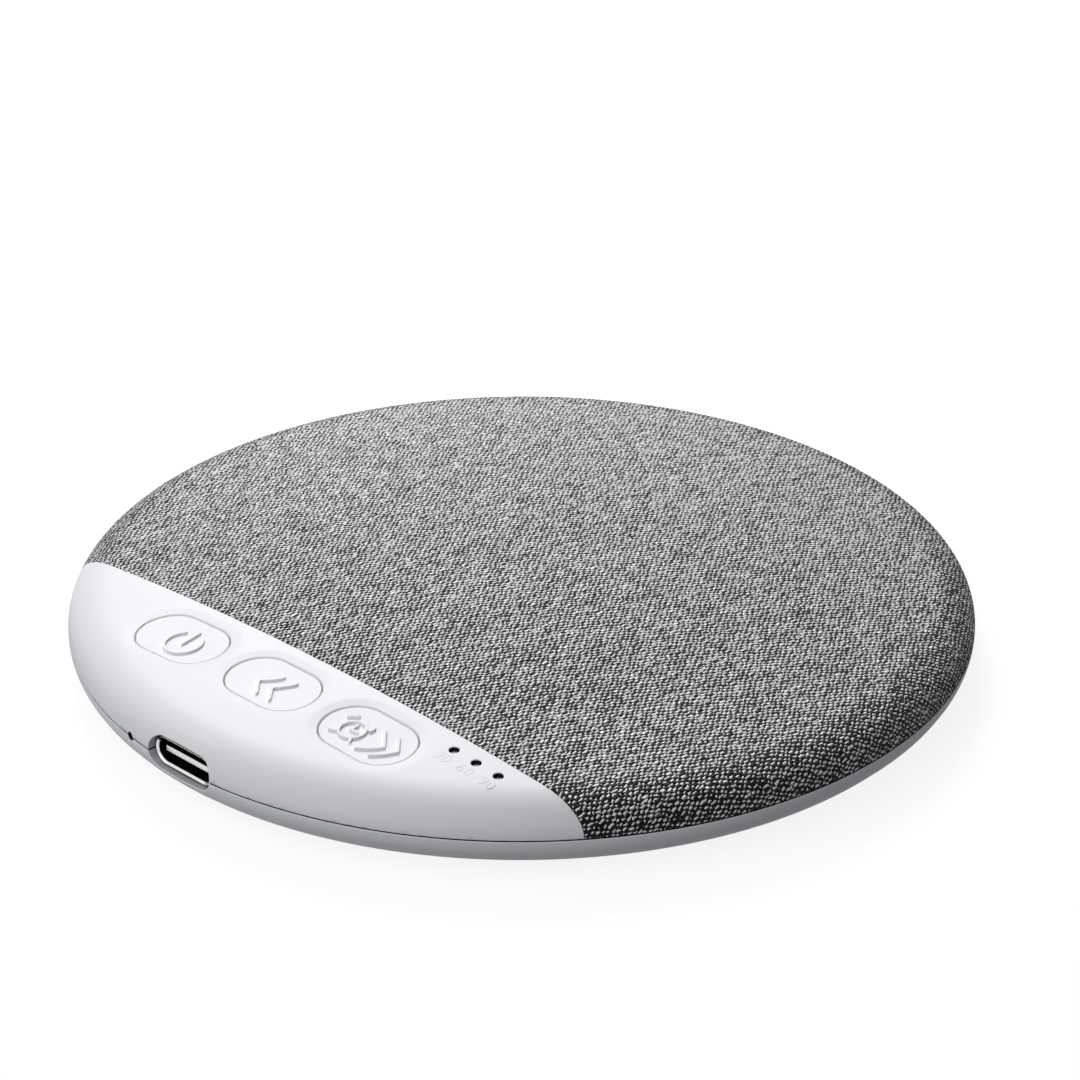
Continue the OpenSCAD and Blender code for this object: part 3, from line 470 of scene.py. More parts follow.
def moulded(name, rgb, roughness, grain_size, grain_depth, mottle=0.03, specular=0.5, metallic=0.0):
    """Surface with an even fine grain: its size, depth and the slight unevenness of colour and gloss."""
    if name in bpy.data.materials:
        return bpy.data.materials[name]
    material, tree = new_material(name)
    place = add(tree, "ShaderNodeTexCoord").outputs["Object"]
    grain = add(tree, "ShaderNodeTexNoise", {"Vector": place, "Scale": 1 / (grain_size * MM), "Detail": 2.0})
    broad = add(tree, "ShaderNodeTexNoise", {"Vector": place, "Scale": 1 / (MOTTLE_SIZE * MM), "Detail": 3.0})
    dim = tuple(c * (1 - mottle) for c in rgb)
    tint = add(tree, "ShaderNodeMix", {"Factor": broad, "A": (*rgb, 1), "B": (*dim, 1)}, data_type="RGBA")
    dull, bright = min(roughness * (1 + GLOSS_SWING), 1.0), roughness * (1 - GLOSS_SWING)
    gloss = add(tree, "ShaderNodeMapRange", {"Value": grain, "To Min": bright, "To Max": dull})
    bump = add(tree, "ShaderNodeBump", {"Height": grain, "Strength": 1.0, "Distance": grain_depth * MM})
    shader = add(tree, "ShaderNodeBsdfPrincipled", {
        "Base Color": tint, "Roughness": gloss, "Normal": bump,
        "Specular IOR Level": specular, "Metallic": metallic})
    add(tree, "ShaderNodeOutputMaterial", {"Surface": shader})
    return material


def case_plastic():
    # Satin ABS moulded in a spark-eroded tool: an even, barely visible grain that spreads each highlight.
    # The grain is drawn at 0.16 mm, a little coarser than the real 0.1 mm, so that it shows.
    finish = bpy.context.scene.machine_finishes
    return moulded("Satin ABS, spark-eroded grain", finish.case, 0.46, 0.16, 0.006, 0.015, specular=0.35)


def recess_plastic():
    # The opening's walls carry the tool's coarser spark finish and a painted shade: darker than the case,
    # and darker still deeper in the opening behind the steel shell's front.
    finish = bpy.context.scene.machine_finishes
    name = "Satin ABS, coarse grain and painted shade in the opening"
    if name in bpy.data.materials:
        return bpy.data.materials[name]
    # Painted shade: the walls take 0.58 of the case's colour
    wall = tuple(0.58 * c for c in finish.case)
    material = moulded(name, wall, 0.6, 0.2, 0.008, 0.02, specular=0.15)
    tree = material.node_tree
    place = add(tree, "ShaderNodeSeparateXYZ", {0: add(tree, "ShaderNodeTexCoord").outputs["Object"]})
    # Painted shade that deepens behind the steel shell's front, down to 0.2 of the colour
    painted_recess_shade = add(tree, "ShaderNodeMapRange", {
        "Value": place.outputs["Y"], "From Min": (STEEL_LOW[1] - 0.02) * MM,
        "From Max": (STEEL_LOW[1] + 0.4) * MM, "To Min": 1.0, "To Max": 0.2})
    colour_in = next(node for node in tree.nodes if node.type == "BSDF_PRINCIPLED").inputs["Base Color"]
    dark = add(tree, "ShaderNodeMix", {"Factor": 1.0, "A": colour_in.links[0].from_socket, "B": painted_recess_shade},
               data_type="RGBA", blend_type="MULTIPLY")
    tree.links.new(dark.outputs["Result"], colour_in)
    return material


def painted_shade_plastic():
    # Painted shade: the walls of the parting gap, the pinhole and the lamp holes get a dull near-black, so
    # that a gap or a hole reads as dark.
    return moulded("ABS, painted shade in gaps and holes", linear("#232427"), 0.9, 0.1, 0.004, specular=0.05)


OPENS_FROM, OPENS_TO = 45.0, 47.2  # flattened radii between which the stretched cloth opens
FALLOFF_REACH = 42  # distance from the middle over which the painted falloff of light grows


def thread_cells(tree, finish, place):
    """Places swayed with the threads, the crossing that each lies on, and the waves across its threads."""
    # The threads wander: they crowd and open up, as in a cloth that has been stretched
    wander = add(tree, "ShaderNodeTexNoise", {"Vector": place, "Scale": 1 / (0.9 * MM), "Detail": 2.0})
    sway = (0.6 * MM, 1.3 * MM, 0)
    swayed = add(tree, "ShaderNodeVectorMath", {0: wander.outputs["Color"], 1: sway, 2: place},
                 operation="MULTIPLY_ADD")
    count = add(tree, "ShaderNodeVectorMath", {
        0: swayed, 1: (1 / (finish.warp_pitch * MM), 1 / (finish.weft_pitch * MM), 0)}, operation="MULTIPLY")
    cell = add(tree, "ShaderNodeVectorMath", {0: count}, operation="FLOOR")
    turns = add(tree, "ShaderNodeVectorMath", {0: count, "Scale": math.pi}, operation="SCALE")
    return swayed, cell, add(tree, "ShaderNodeVectorMath", {0: turns}, operation="SINE")


def thread_slubs(tree, swayed, cell):
    """Slubs along each warp thread, and along each weft thread."""
    threads = add(tree, "ShaderNodeSeparateXYZ", {0: cell})
    runs = add(tree, "ShaderNodeSeparateXYZ", {0: swayed})
    slubs = []
    for thread, run, apart, length in (("X", "Y", 7.31, 1.8), ("Y", "X", 5.17, 2.6)):
        row = add(tree, "ShaderNodeCombineXYZ", {"X": threads.outputs[thread], "Y": runs.outputs[run]})
        spread = add(tree, "ShaderNodeVectorMath", {0: row, 1: (apart, 1 / (length * MM), 0)},
                     operation="MULTIPLY")
        slubs.append(add(tree, "ShaderNodeTexNoise", {"Vector": spread, "Scale": 1.0, "Detail": 2.0}))
    return slubs


def float_share(tree, place, wave, opened, slub, chance):
    """Where the pale warp lies over the dark weft, from 0 to 1, with a painted falloff of light to the front
    right.
    """
    axes = add(tree, "ShaderNodeSeparateXYZ", {0: wave})
    over = add(tree, "ShaderNodeMath", {0: axes.outputs["X"], 1: axes.outputs["Y"]}, operation="MULTIPLY")
    # Painted falloff of light: more of the dark weft shows towards the front right, less towards the back
    # left
    lean = add(tree, "ShaderNodeVectorMath", {0: place, 1: (-0.707, 0.707, 0)}, operation="DOT_PRODUCT")
    painted_falloff = add(tree, "ShaderNodeMapRange", {
        "Value": lean, "From Min": -FALLOFF_REACH * MM, "From Max": FALLOFF_REACH * MM,
        "To Min": -0.17, "To Max": 0.12})
    causes = add(tree, "ShaderNodeCombineXYZ", {"X": slub, "Y": chance, "Z": opened})
    share = add(tree, "ShaderNodeVectorMath", {0: causes, 1: (2.4, 0.45, -0.25)}, operation="DOT_PRODUCT")
    share_with_falloff = add(tree, "ShaderNodeMath", {0: share, 1: painted_falloff}, operation="ADD")
    total = add(tree, "ShaderNodeMath", {0: over, 1: share_with_falloff}, operation="ADD")
    return add(tree, "ShaderNodeMapRange", {"Value": total, "From Min": 1.125, "From Max": 1.475},
               interpolation_type="SMOOTHSTEP")


def yarn_colour(tree, finish, light, slubs, chance):
    """Pale yarn over dark yarn, each lighter or darker with its own slubs."""
    warp_slub, weft_slub = slubs
    fibres = add(tree, "ShaderNodeMath", {0: chance, 1: 0.3, 2: warp_slub}, operation="MULTIPLY_ADD")
    pale = add(tree, "ShaderNodeMapRange", {
        "Value": fibres, "From Min": 0.4, "From Max": 0.8, "To Min": 0.62, "To Max": 1.0})
    deep = add(tree, "ShaderNodeMapRange", {
        "Value": weft_slub, "From Min": 0.3, "From Max": 0.72, "To Min": 0.4, "To Max": 2.4})
    light_rgb, dark_rgb = (
        add(tree, "ShaderNodeVectorMath", {0: tuple(rgb), "Scale": scale}, operation="SCALE")
        for rgb, scale in ((finish.light_yarn, pale), (finish.dark_yarn, deep)))
    return add(tree, "ShaderNodeMix", {"Factor": light, "A": dark_rgb, "B": light_rgb}, data_type="RGBA")


def float_height(tree, wave):
    """Height of the thread on top: round across the thread, and long along it."""
    swell = add(tree, "ShaderNodeVectorMath", {0: wave}, operation="ABSOLUTE")
    height = add(tree, "ShaderNodeSeparateXYZ", {0: swell})
    crest = add(tree, "ShaderNodeMath", {0: height.outputs["X"], 1: 0.8}, operation="POWER")
    length = add(tree, "ShaderNodeMath", {0: height.outputs["Y"], 1: 0.45, 2: 0.55}, operation="MULTIPLY_ADD")
    return add(tree, "ShaderNodeMath", {0: crest, 1: length}, operation="MULTIPLY")


def woven_cloth():
    # Plain-woven polyester speaker cloth. White slubbed warp floats over a graphite weft, which gives a
    # heathered grey with fine streaks along the warp and white ovals where it is seen at a low angle. Its
    # colour also holds painted shade between the threads, a painted highlight on each float, and a painted
    # falloff of light towards the front right.
    finish = bpy.context.scene.machine_finishes
    material, tree = new_material("Plain-woven speaker cloth, heathered")
    place = add(tree, "ShaderNodeAttribute", attribute_name="weave").outputs["Vector"]
    # Over the rim the cloth is stretched: the pale floats stand apart, with black gaps between them; there
    # the painted shade in the gaps is deeper and the painted highlight on the floats brighter
    reach = add(tree, "ShaderNodeVectorMath", {0: place}, operation="LENGTH")
    opened = add(tree, "ShaderNodeMapRange", {
        "Value": reach, "From Min": OPENS_FROM * MM, "From Max": OPENS_TO * MM},
        interpolation_type="SMOOTHSTEP")
    # Each thread has its own slubs along it, and each crossing its own share of light and dark fibres
    swayed, cell, wave = thread_cells(tree, finish, place)
    slubs = thread_slubs(tree, swayed, cell)
    chance = add(tree, "ShaderNodeTexWhiteNoise", {"Vector": cell})
    light = float_share(tree, place, wave, opened, slubs[0], chance)
    yarn = yarn_colour(tree, finish, light, slubs, chance)

    height = float_height(tree, wave)
    # Painted shade and painted highlight: the colour darkens into the valleys between the threads and
    # lightens on each float's crest, more so over the rim
    valley_shade = add(tree, "ShaderNodeMath", {0: opened, 1: -0.32, 2: 0.34}, operation="MULTIPLY_ADD")
    shade = add(tree, "ShaderNodeMapRange", {
        "Value": height, "From Max": 0.88, "To Min": valley_shade, "To Max": 1.22})
    lift = add(tree, "ShaderNodeMath", {0: opened, 1: 0.35, 2: 1.0}, operation="MULTIPLY_ADD")
    lit = add(tree, "ShaderNodeMath", {0: shade, 1: lift}, operation="MULTIPLY")
    tone = add(tree, "ShaderNodeMix", {"Factor": 1.0, "A": yarn, "B": lit}, data_type="RGBA",
               blend_type="MULTIPLY", clamp_result=True)
    swell = add(tree, "ShaderNodeMath", {0: opened, 1: 1.0}, operation="ADD")
    relief = add(tree, "ShaderNodeMath", {0: height, 1: swell}, operation="MULTIPLY")
    bump = add(tree, "ShaderNodeBump", {"Height": relief, "Strength": 1.0, "Distance": 0.1 * MM})
    # The pale filament yarn is smoother than the dark spun one, so each float catches the light on its back
    gloss = add(tree, "ShaderNodeMapRange", {"Value": light, "To Min": 0.85, "To Max": 0.36})
    shine = add(tree, "ShaderNodeMath", {0: light, 1: 0.9}, operation="MULTIPLY")
    shader = add(tree, "ShaderNodeBsdfPrincipled", {
        "Base Color": tone, "Roughness": gloss, "Normal": bump, "Sheen Weight": 0.3, "Sheen Roughness": 0.5,
        "Specular IOR Level": shine})
    add(tree, "ShaderNodeOutputMaterial", {"Surface": shader})
    return material


def nickel_steel():
    # Stainless strip, nickel plated and deep drawn: bright, with faint lines along the draw.
    finish = bpy.context.scene.machine_finishes
    return moulded("Nickel-plated steel, drawn", finish.steel, 0.3, 0.08, 0.001, metallic=1.0)


def painted_shade_steel():
    # Painted shade: the inside of the drawn shell and the upper part of its lip get a dull near-black, so
    # that the mouth reads black.
    return moulded("Steel strip, painted shade inside and under the overhang", linear("#050506"), 0.8, 0.1, 0.001, specular=0.05)


def tongue_polymer():
    # Glass-filled liquid crystal polymer: black and dull, with hardly any reflection.
    return moulded("Liquid crystal polymer, moulded black", linear("#060607"), 0.6, 0.08, 0.003, specular=0.1)


def foot_rubber():
    # Silicone rubber moulded in a bead-blasted tool: matt, with a soft even bloom.
    finish = bpy.context.scene.machine_finishes
    return moulded("Silicone rubber, bead-blasted mould", finish.rubber, 0.72, 0.2, 0.01, 0.05)


def printed_ink():
    # Pad-printed ink: flatter than the plastic round it, with a slightly uneven film.
    finish = bpy.context.scene.machine_finishes
    return moulded("Pad-printed ink", finish.print_ink, 0.6, 0.05, 0.001, 0.08)


# ---- Case pieces ---------------------------------------------------------------------------------


def even(line, step):
    """Line resampled at nearly equal steps."""
    along = np.concatenate([[0], np.cumsum(np.linalg.norm(np.diff(line, axis=0), axis=1))])
    at = np.linspace(0, along[-1], max(int(round(along[-1] / step)), 2) + 1)
    return np.stack([np.interp(at, along, line[:, i]) for i in (0, 1)], 1)


def notch(section, x, length, width, middle_z, step, rising):
    """Flattened line of an opening's half that cuts the parting line, from its left end to its right."""
    edge_z = section.z[-1]
    radius, half = width / 2, (length - width) / 2
    lean = math.asin((edge_z - middle_z) / radius)
    quarter = np.linspace(lean, math.pi / 2 if rising else -math.pi / 2, 60)
    reach, rise = half + radius * np.cos(quarter), radius * np.sin(quarter)
    across = x + np.concatenate([-reach, reach[::-1]])
    height = middle_z + np.concatenate([rise, rise[::-1]])
    height[[0, -1]] = edge_z
    return even(section.place_on_edge(across, height, not rising), step)


def rim_arc(section, x0, x1, step):
    """Flattened front part of the parting line from x0 to x1."""
    r = section.r[-1]
    a0, a1 = -math.acos(x0 / r), -math.acos(x1 / r)
    return arc(section.length, math.degrees(a0), math.degrees(a1), count=max(int((a1 - a0) * r / step), 2))


PIN_STEP, MOUTH_STEP = 0.12, 0.3  # spacing of the points along each cut
SHELL_STEP, PANEL_STEP, CUT_STEP = 1.0, 0.8, 0.5  # and along the parting line and the straight edge


def front_edge(section, port, reach, step, rising):
    """Flattened front of the parting line with the pinhole and the port's opening cut in it, and each cut."""
    pin = notch(section, GUIDE_X, port.pinhole, port.pinhole, PIN_Z, PIN_STEP, rising)
    mouth = notch(section, 0, port.opening_length, port.opening_height, port.opening_z, MOUTH_STEP, rising)
    cuts = [line[i][0] * section.r[-1] / section.length for line in (pin, mouth) for i in (0, -1)]
    ends = [-reach, *cuts, reach]
    left, between, right = (rim_arc(section, ends[i], ends[i + 1], step) for i in (0, 2, 4))
    return np.concatenate([left[:-1], pin, between[1:-1], mouth, right[1:]]), pin, mouth


def edge_distance(points, line, closed=False):
    """Shortest distance from points to a line."""
    a = line if closed else line[:-1]
    b = np.roll(line, -1, 0) if closed else line[1:]
    near = np.full(len(points), 1e9)
    for p, q in zip(a, b):
        along = q - p
        t = np.clip(((points - p) @ along) / max(along @ along, 1e-12), 0, 1)
        near = np.minimum(near, np.linalg.norm(points - p - t[:, None] * along, axis=1))
    return near


def rows_beside(line, gaps):
    """Spots beside a closed line at each gap from it, on its left."""
    after, before = np.roll(line, -1, 0) - line, line - np.roll(line, 1, 0)
    turn = after / np.linalg.norm(after, axis=1)[:, None] + before / np.linalg.norm(before, axis=1)[:, None]
    turn /= np.linalg.norm(turn, axis=1)[:, None]
    side = np.stack([-turn[:, 1], turn[:, 0]], 1)
    return np.concatenate([line + side * gap for gap in gaps])


def grid(low, high, step):
    """Spots of a triangle grid over a box."""
    spots = []
    for i, y in enumerate(np.arange(low[1], high[1], step * 0.866)):
        x = np.arange(low[0] + (i % 2) * step / 2, high[0], step)
        spots.append(np.stack([x, np.full(len(x), y)], 1))
    return np.concatenate(spots)


def discs(radii, centre=(0.0, 0.0), apart=1.6):
    """Spots on circles, each circle's points about as far apart as told."""
    return np.concatenate([circle(r, max(int(2 * math.pi * r / apart), 6), centre) for r in radii])


def patch(outline, holes, spots, clear):
    """Triangles of an outline with holes, through the spots that keep clear of every edge."""
    spots = np.concatenate(spots)
    keep = inside(spots, outline)
    for hole in holes:
        keep &= ~inside(spots, hole)
    spots = spots[keep]
    near = edge_distance(spots, outline, True)
    for hole in holes:
        near = np.minimum(near, edge_distance(spots, hole, True))
    return fill(outline, holes, spots[near > clear])


EDGE_ROWS = (0.02, 0.05, 0.09, 0.14, 0.22, 0.36, 0.6, 0.88, 1.12, 1.18, 1.5)
EDGE_CLEAR = 0.012
RIM_BLEND = 2.5  # width over which the inner skin turns square to the rim
PORT_BLEND = 0.9  # width over which it turns into the wall of the port's opening


def near_mouth(flat, mouth):
    """How near flattened points are to the port's opening, from 1 at its edge to 0."""
    return np.clip(1 - edge_distance(flat, mouth) / PORT_BLEND, 0, 1)[:, None]


def inner_skin(case, section, flat, wall, port=None, sink=None):
    """Inner skin under flattened points: straight down under the dome, square to the rim beyond it."""
    top = section.lift(flat)
    r = np.hypot(top[:, 0], top[:, 1])
    rim = case.radius - case.rim_width
    square = np.clip((r - rim) / RIM_BLEND + 0.2, 0, 1)[:, None]
    lower = section.lift(flat, wall)
    straight = top - [0, 0, wall]
    skin = lower * square + straight * (1 - square)
    if port is not None:
        near = near_mouth(flat, port)
        skin = skin * (1 - near) + (top + [0, sink, 0]) * near
    return skin


WALL_REACH = 0.03  # how far from a cut's line its wall is still found
GAP_REACH = 0.05  # the same for the parting line
LAMP_REACH = 0.7  # the same for the middle of a lamp's hole


def shade_walls(piece, flat, section, mouth, pin, lamps=()):
    """Gives the walls in the parting gap, the pinhole and the lamp holes a painted shade, and the port's
    opening its coarse grain with painted shade.
    """
    piece.data.materials.append(painted_shade_plastic())
    piece.data.materials.append(recess_plastic())
    n = len(flat)
    for face in piece.data.polygons:
        outer = [v for v in face.vertices if v < n]
        if not outer or len(outer) == len(face.vertices) or max(face.vertices) >= 2 * n:
            continue
        at = flat[outer].mean(0)[None]
        # Material 2: coarse grain with painted shade on the opening's walls; material 1: painted shade in the
        # gap and the holes
        if edge_distance(at, mouth)[0] < WALL_REACH:
            face.material_index = 2
        elif (np.linalg.norm(at) > section.length - GAP_REACH or edge_distance(at, pin)[0] < WALL_REACH
              or any(np.linalg.norm(at[0] - lamp) < LAMP_REACH for lamp in lamps)):
            face.material_index = 1


RECESS_ROUND = 0.12  # radius of the edge of a foot's recess
RECESS_ROWS = (-0.02, 0, 0.02, 0.06, 0.12, 0.5)
# Over each foot a collar and a boss hold the case screw; both are rooted in the floor of the shell
COLLAR_RADIUS, COLLAR_TOP = 5.15, 2.4
BOSS_RADIUS, BOSS_TOP, BOSS_BORE = 2.9, 3.7, 0.9
ROOT, BEVEL = 0.3, 0.1
# The lip inside the parting line centres the upper half, and leaves the port free
LIP_INSET, LIP_WALL, LIP_BASE, LIP_RISE = 2.21, 1.15, 3.6, 1.0
LIP_ENDS = (-78, 258)


class MACHINE_OT_lower_shell(bpy.types.Operator):
    """Moulds the lower shell: flat base, rolled edge, foot recesses, screw bosses and half of the port"""

    bl_idname = "machine.lower_shell"
    bl_label = "Lower shell"

    def execute(self, context):
        case, port = context.scene.machine_case, context.scene.machine_port
        section = base_section(case)
        floor = case.base_z + case.base_wall
        front, pin, mouth = front_edge(section, port, case.radius, SHELL_STEP, False)
        rear = arc(section.length, 0, 180, count=int(math.pi * case.radius / SHELL_STEP))
        outline = np.concatenate([front[1:-1], rear])
        spots = [rows_beside(outline, EDGE_ROWS), discs(np.arange(0.5, section.length - 1.6, 1.3))]
        for spot in FOOT_SPOTS:
            spots[1] = spots[1][np.linalg.norm(spots[1] - spot, axis=1) > FOOT_RECESS + 0.4]
            spots += [circle(FOOT_RECESS + gap, 72, spot) for gap in RECESS_ROWS]
            spots += [circle(r, 36, spot) for r in (1.2, 2.4, 3.6)]
        flat, triangles = patch(outline, [], spots, EDGE_CLEAR)
        drop = round_over(edge_distance(flat, outline, True), case.edge_round)
        for spot in FOOT_SPOTS:
            away = np.linalg.norm(flat - spot, axis=1) - FOOT_RECESS
            edge = round_over(np.maximum(away, 0), RECESS_ROUND)
            drop = np.where(away < -0.01, FOOT_DEPTH, np.maximum(drop, edge))
        outer = section.lift(flat, drop)
        inner = section.lift(flat, case.base_wall)
        near = near_mouth(flat, mouth)
        inner = inner * (1 - near) + (section.lift(flat) + [0, port.tunnel_depth, 0]) * near
        parts = [closed_shell(outer, inner, triangles[:, ::-1])]
        boss = [(COLLAR_RADIUS, floor - ROOT), (COLLAR_RADIUS, COLLAR_TOP - BEVEL),
                (COLLAR_RADIUS - BEVEL, COLLAR_TOP), (BOSS_RADIUS, COLLAR_TOP),
                (BOSS_RADIUS, BOSS_TOP - BEVEL), (BOSS_RADIUS - BEVEL, BOSS_TOP),
                (BOSS_BORE, BOSS_TOP), (BOSS_BORE, floor - ROOT)]
        parts += [lathe(boss, spot, 48, True) for spot in FOOT_SPOTS]
        lip, high = case.radius - LIP_INSET, case.seam_z + LIP_RISE
        rows = [(lip - LIP_WALL, LIP_BASE), (lip, LIP_BASE), (lip, high - BEVEL), (lip - BEVEL, high),
                (lip - LIP_WALL + BEVEL, high), (lip - LIP_WALL, high - BEVEL)]
        parts.append(loft([[(r * math.cos(a), r * math.sin(a), z) for r, z in rows]
                           for a in np.radians(np.linspace(*LIP_ENDS, 170))]))
        shell = new_piece("lower_shell_moulding", *join(parts), case_plastic(), "base_abs",
                          replaces=["bottom_shell"])
        shade_walls(shell, flat, section, mouth, pin)
        return {"FINISHED"}


def panel_lamps(case, port):
    """Plan centres of the three timer lamps' holes."""
    middle = (LAMP_HIGH[0] + LAMP_LOW[0]) / 2
    return [(middle + side * port.lamp_pitch, case.panel_y - port.lamp_inset) for side in (-1, 0, 1)]


def cap_centres(caps):
    """Plan centres of the three button caps."""
    return [(caps.shift + side * caps.pitch, caps.centre_y) for side in (-1, 0, 1)]


def cut_line(case, section, y, step):
    """Flattened line of the crown over a straight cut at y, from its left end to its right."""
    reach = math.sqrt(case.radius**2 - y * y)
    x = reach * np.sin(np.linspace(-math.pi / 2, math.pi / 2, 900))
    line = section.unroll(np.stack([x, np.full(len(x), y)], 1))
    return even(line, step)


def digit(kind, height):
    """Centre lines of a numeral round the origin, each with True where it closes."""
    h = height
    if kind == "0":
        return [(arc(0.27 * h, 0, 348, tall=1.75, count=30), True)]
    if kind == "3":
        return [(np.concatenate([arc(0.24 * h, 150, -80, (0, 0.24 * h), 20),
                                 arc(0.26 * h, 80, -150, (0, -0.23 * h), 20)]), False)]
    tail = np.array([[-0.26 * h, -0.2 * h], [-0.24 * h, 0.05 * h], [-0.14 * h, 0.3 * h], [0.08 * h, 0.5 * h]])
    ring = arc(0.26 * h, 0, 345, (0, -0.22 * h), 24)
    if kind == "6":
        return [(ring, True), (tail, False)]
    return [(-ring, True), (-tail, False)]


CAP_POINTS = 150  # points round a cap and its opening
PANEL_GRID = ((-42, -58), (42, -28), 1.15)  # low and high corner, and spacing
CAP_GRID = ((-6, -4), (6, 4), 0.9)
LAMP_ROWS = (0, 0.02, 0.05, 0.09, 0.2, 0.5)
DIGIT_SHIFT = 0.05
INK, INK_EDGE = 0.01, 0.003  # thickness of the printed film, and of its soft edge


class MACHINE_OT_control_panel(bpy.types.Operator):
    """Moulds the control panel with its button openings, lamp holes, half of the port and printed numerals"""

    bl_idname = "machine.control_panel"
    bl_label = "Control panel"

    def execute(self, context):
        scene = context.scene
        case, caps, port = scene.machine_case, scene.machine_caps, scene.machine_port
        section = crown_section(case)
        reach = math.sqrt(case.radius**2 - case.panel_y**2)
        front, pin, mouth = front_edge(section, port, reach, PANEL_STEP, True)
        cut = cut_line(case, section, case.panel_y, CUT_STEP)[::-1]
        outline = np.concatenate([front, cut[1:-1]])
        holes, spots = [], [rows_beside(outline, EDGE_ROWS), grid(*PANEL_GRID)]
        for centre in cap_centres(caps):
            rings = [stadium(caps.length, caps.width, caps.gap + gap, CAP_POINTS) for gap in (0, *EDGE_ROWS)]
            first, *more = (section.unroll(ring + centre) for ring in rings)
            holes.append(first)
            spots += more
        for centre in panel_lamps(case, port):
            first, *more = (section.unroll(circle(port.lamp_hole / 2 + gap, 32, centre))
                            for gap in LAMP_ROWS)
            holes.append(first)
            spots += more
        flat, triangles = patch(outline, holes, spots, EDGE_CLEAR)
        edge = edge_distance(flat, outline, True)
        drop = round_over(edge, case.edge_round)
        plan = section.lift(flat)[:, :2]
        for centre in cap_centres(caps):
            away = np.maximum(stadium_distance(plan - centre, caps.length, caps.width) - caps.gap, 0)
            slope = np.clip(1 - away / caps.dish_width, 0, 1)
            drop = drop + caps.dish_depth * slope + round_over(away, caps.edge_round)
        for centre in panel_lamps(case, port):
            away = np.maximum(np.linalg.norm(plan - centre, axis=1) - port.lamp_hole / 2, 0)
            drop = drop + round_over(away, caps.edge_round)
        inner = inner_skin(case, section, flat, case.panel_wall, mouth, port.tunnel_depth)
        inner[:, 1] = np.minimum(inner[:, 1], case.panel_y)
        points, faces = closed_shell(section.lift(flat, drop), inner, triangles)
        panel = new_piece("control_panel_moulding", points, faces, case_plastic(), "panel_abs",
                          replaces=["control_panel"])
        shade_walls(panel, flat, section, mouth, pin, section.unroll(panel_lamps(case, port)))
        self.numerals(case, port)
        return {"FINISHED"}

    def numerals(self, case, port):
        """Prints the minutes before each timer lamp."""
        marks, ground = [], partial(dome_z, case)
        for (x, y), number in zip(panel_lamps(case, port), ("30", "60", "90")):
            for side, kind in zip((-0.5, 0.5), number):
                place = [x + DIGIT_SHIFT + side * port.digit_pitch, y - port.digit_drop]
                marks += [stroke(line + place, port.digit_stroke, INK, INK_EDGE, ground, closed)
                          for line, closed in digit(kind, port.digit_height)]
        new_piece("timer_numerals", *join(marks), printed_ink(), "panel_abs")


CLOTH_THICK, CLOTH_ROUND = 0.5, 0.12  # with the radius of its turned edge
CLOTH_ROWS, CLOTH_CLEAR = (0.03, 0.08, 0.15, 0.3, 0.7), 0.02
REAR_POINTS = 260


class MACHINE_OT_speaker_cloth(bpy.types.Operator):
    """Stretches the woven cloth over the grille plate, from the panel's edge to the parting line"""

    bl_idname = "machine.speaker_cloth"
    bl_label = "Speaker cloth"

    def execute(self, context):
        case = context.scene.machine_case
        section = crown_section(case)
        edge_y = CLOTH_LOW[1]
        cut = cut_line(case, section, edge_y, CUT_STEP)
        start = math.degrees(math.asin(edge_y / case.radius))
        rear = arc(section.length, start, 180 - start, count=REAR_POINTS)
        outline = np.concatenate([rear, cut[1:-1]])
        spots = [rows_beside(outline, CLOTH_ROWS),
                 discs(np.arange(1.0, 44.5, 2.2), apart=2.2),
                 discs(np.arange(45.2, section.length - 0.8, 0.45), apart=1.3)]
        flat, triangles = patch(outline, [], spots, CLOTH_CLEAR)
        drop = round_over(edge_distance(flat, outline, True), CLOTH_ROUND)
        inner = inner_skin(case, section, flat, CLOTH_THICK)
        inner[:, 1] = np.maximum(inner[:, 1], edge_y)
        points, faces = closed_shell(section.lift(flat, drop), inner, triangles)
        cloth = new_piece("woven_speaker_cloth", points, faces, woven_cloth(), "speaker_cloth",
                          replaces=["speaker_cloth"])
        weave = cloth.data.attributes.new("weave", "FLOAT_VECTOR", "POINT")
        both = np.concatenate([flat, flat]) * MM
        weave.data.foreach_set("vector", np.pad(both, ((0, 0), (0, 1))).ravel())
        return {"FINISHED"}


def power_lines():
    """Ring open at the back, with a bar through the opening."""
    return [arc(2.1, 90 + 42, 450 - 42, (0.93, -0.47)), [(1.0, -0.72), (0.9, 1.85)]]


def back_lines():
    """Two chevrons that point left."""
    return [[(0.3, 1.5), (0.22, 1.2), (-0.3, 0.55), (-0.86, 0.01), (-1.45, -0.5), (0.2, -2.28)],
            [(2.28, 1.52), (2.12, 1.18), (1.68, 0.52), (1.22, -0.1), (0.72, -0.58), (2.2, -2.28)]]


CLOCK = (-1.72, -0.42)


def next_lines():
    """Clock face, hands and legs, then two chevrons that point right."""
    return [arc(1.45, 0, 352, CLOCK), [(-1.82, 0.45), (-1.82, -0.48), (-0.95, -0.45)],
            [(-3.6, -1.88), (-3.2, -1.72), (-2.8, -1.45)], [(-0.8, -1.5), (-0.4, -2.0)],
            [(1.1, 1.5), (2.9, -0.38), (2.53, -0.93), (1.99, -1.52), (1.42, -2.0), (0.8, -2.36)],
            [(3.07, 1.54), (4.57, -0.02), (4.3, -0.5), (3.92, -1.13), (3.37, -1.8), (2.77, -2.33)]]


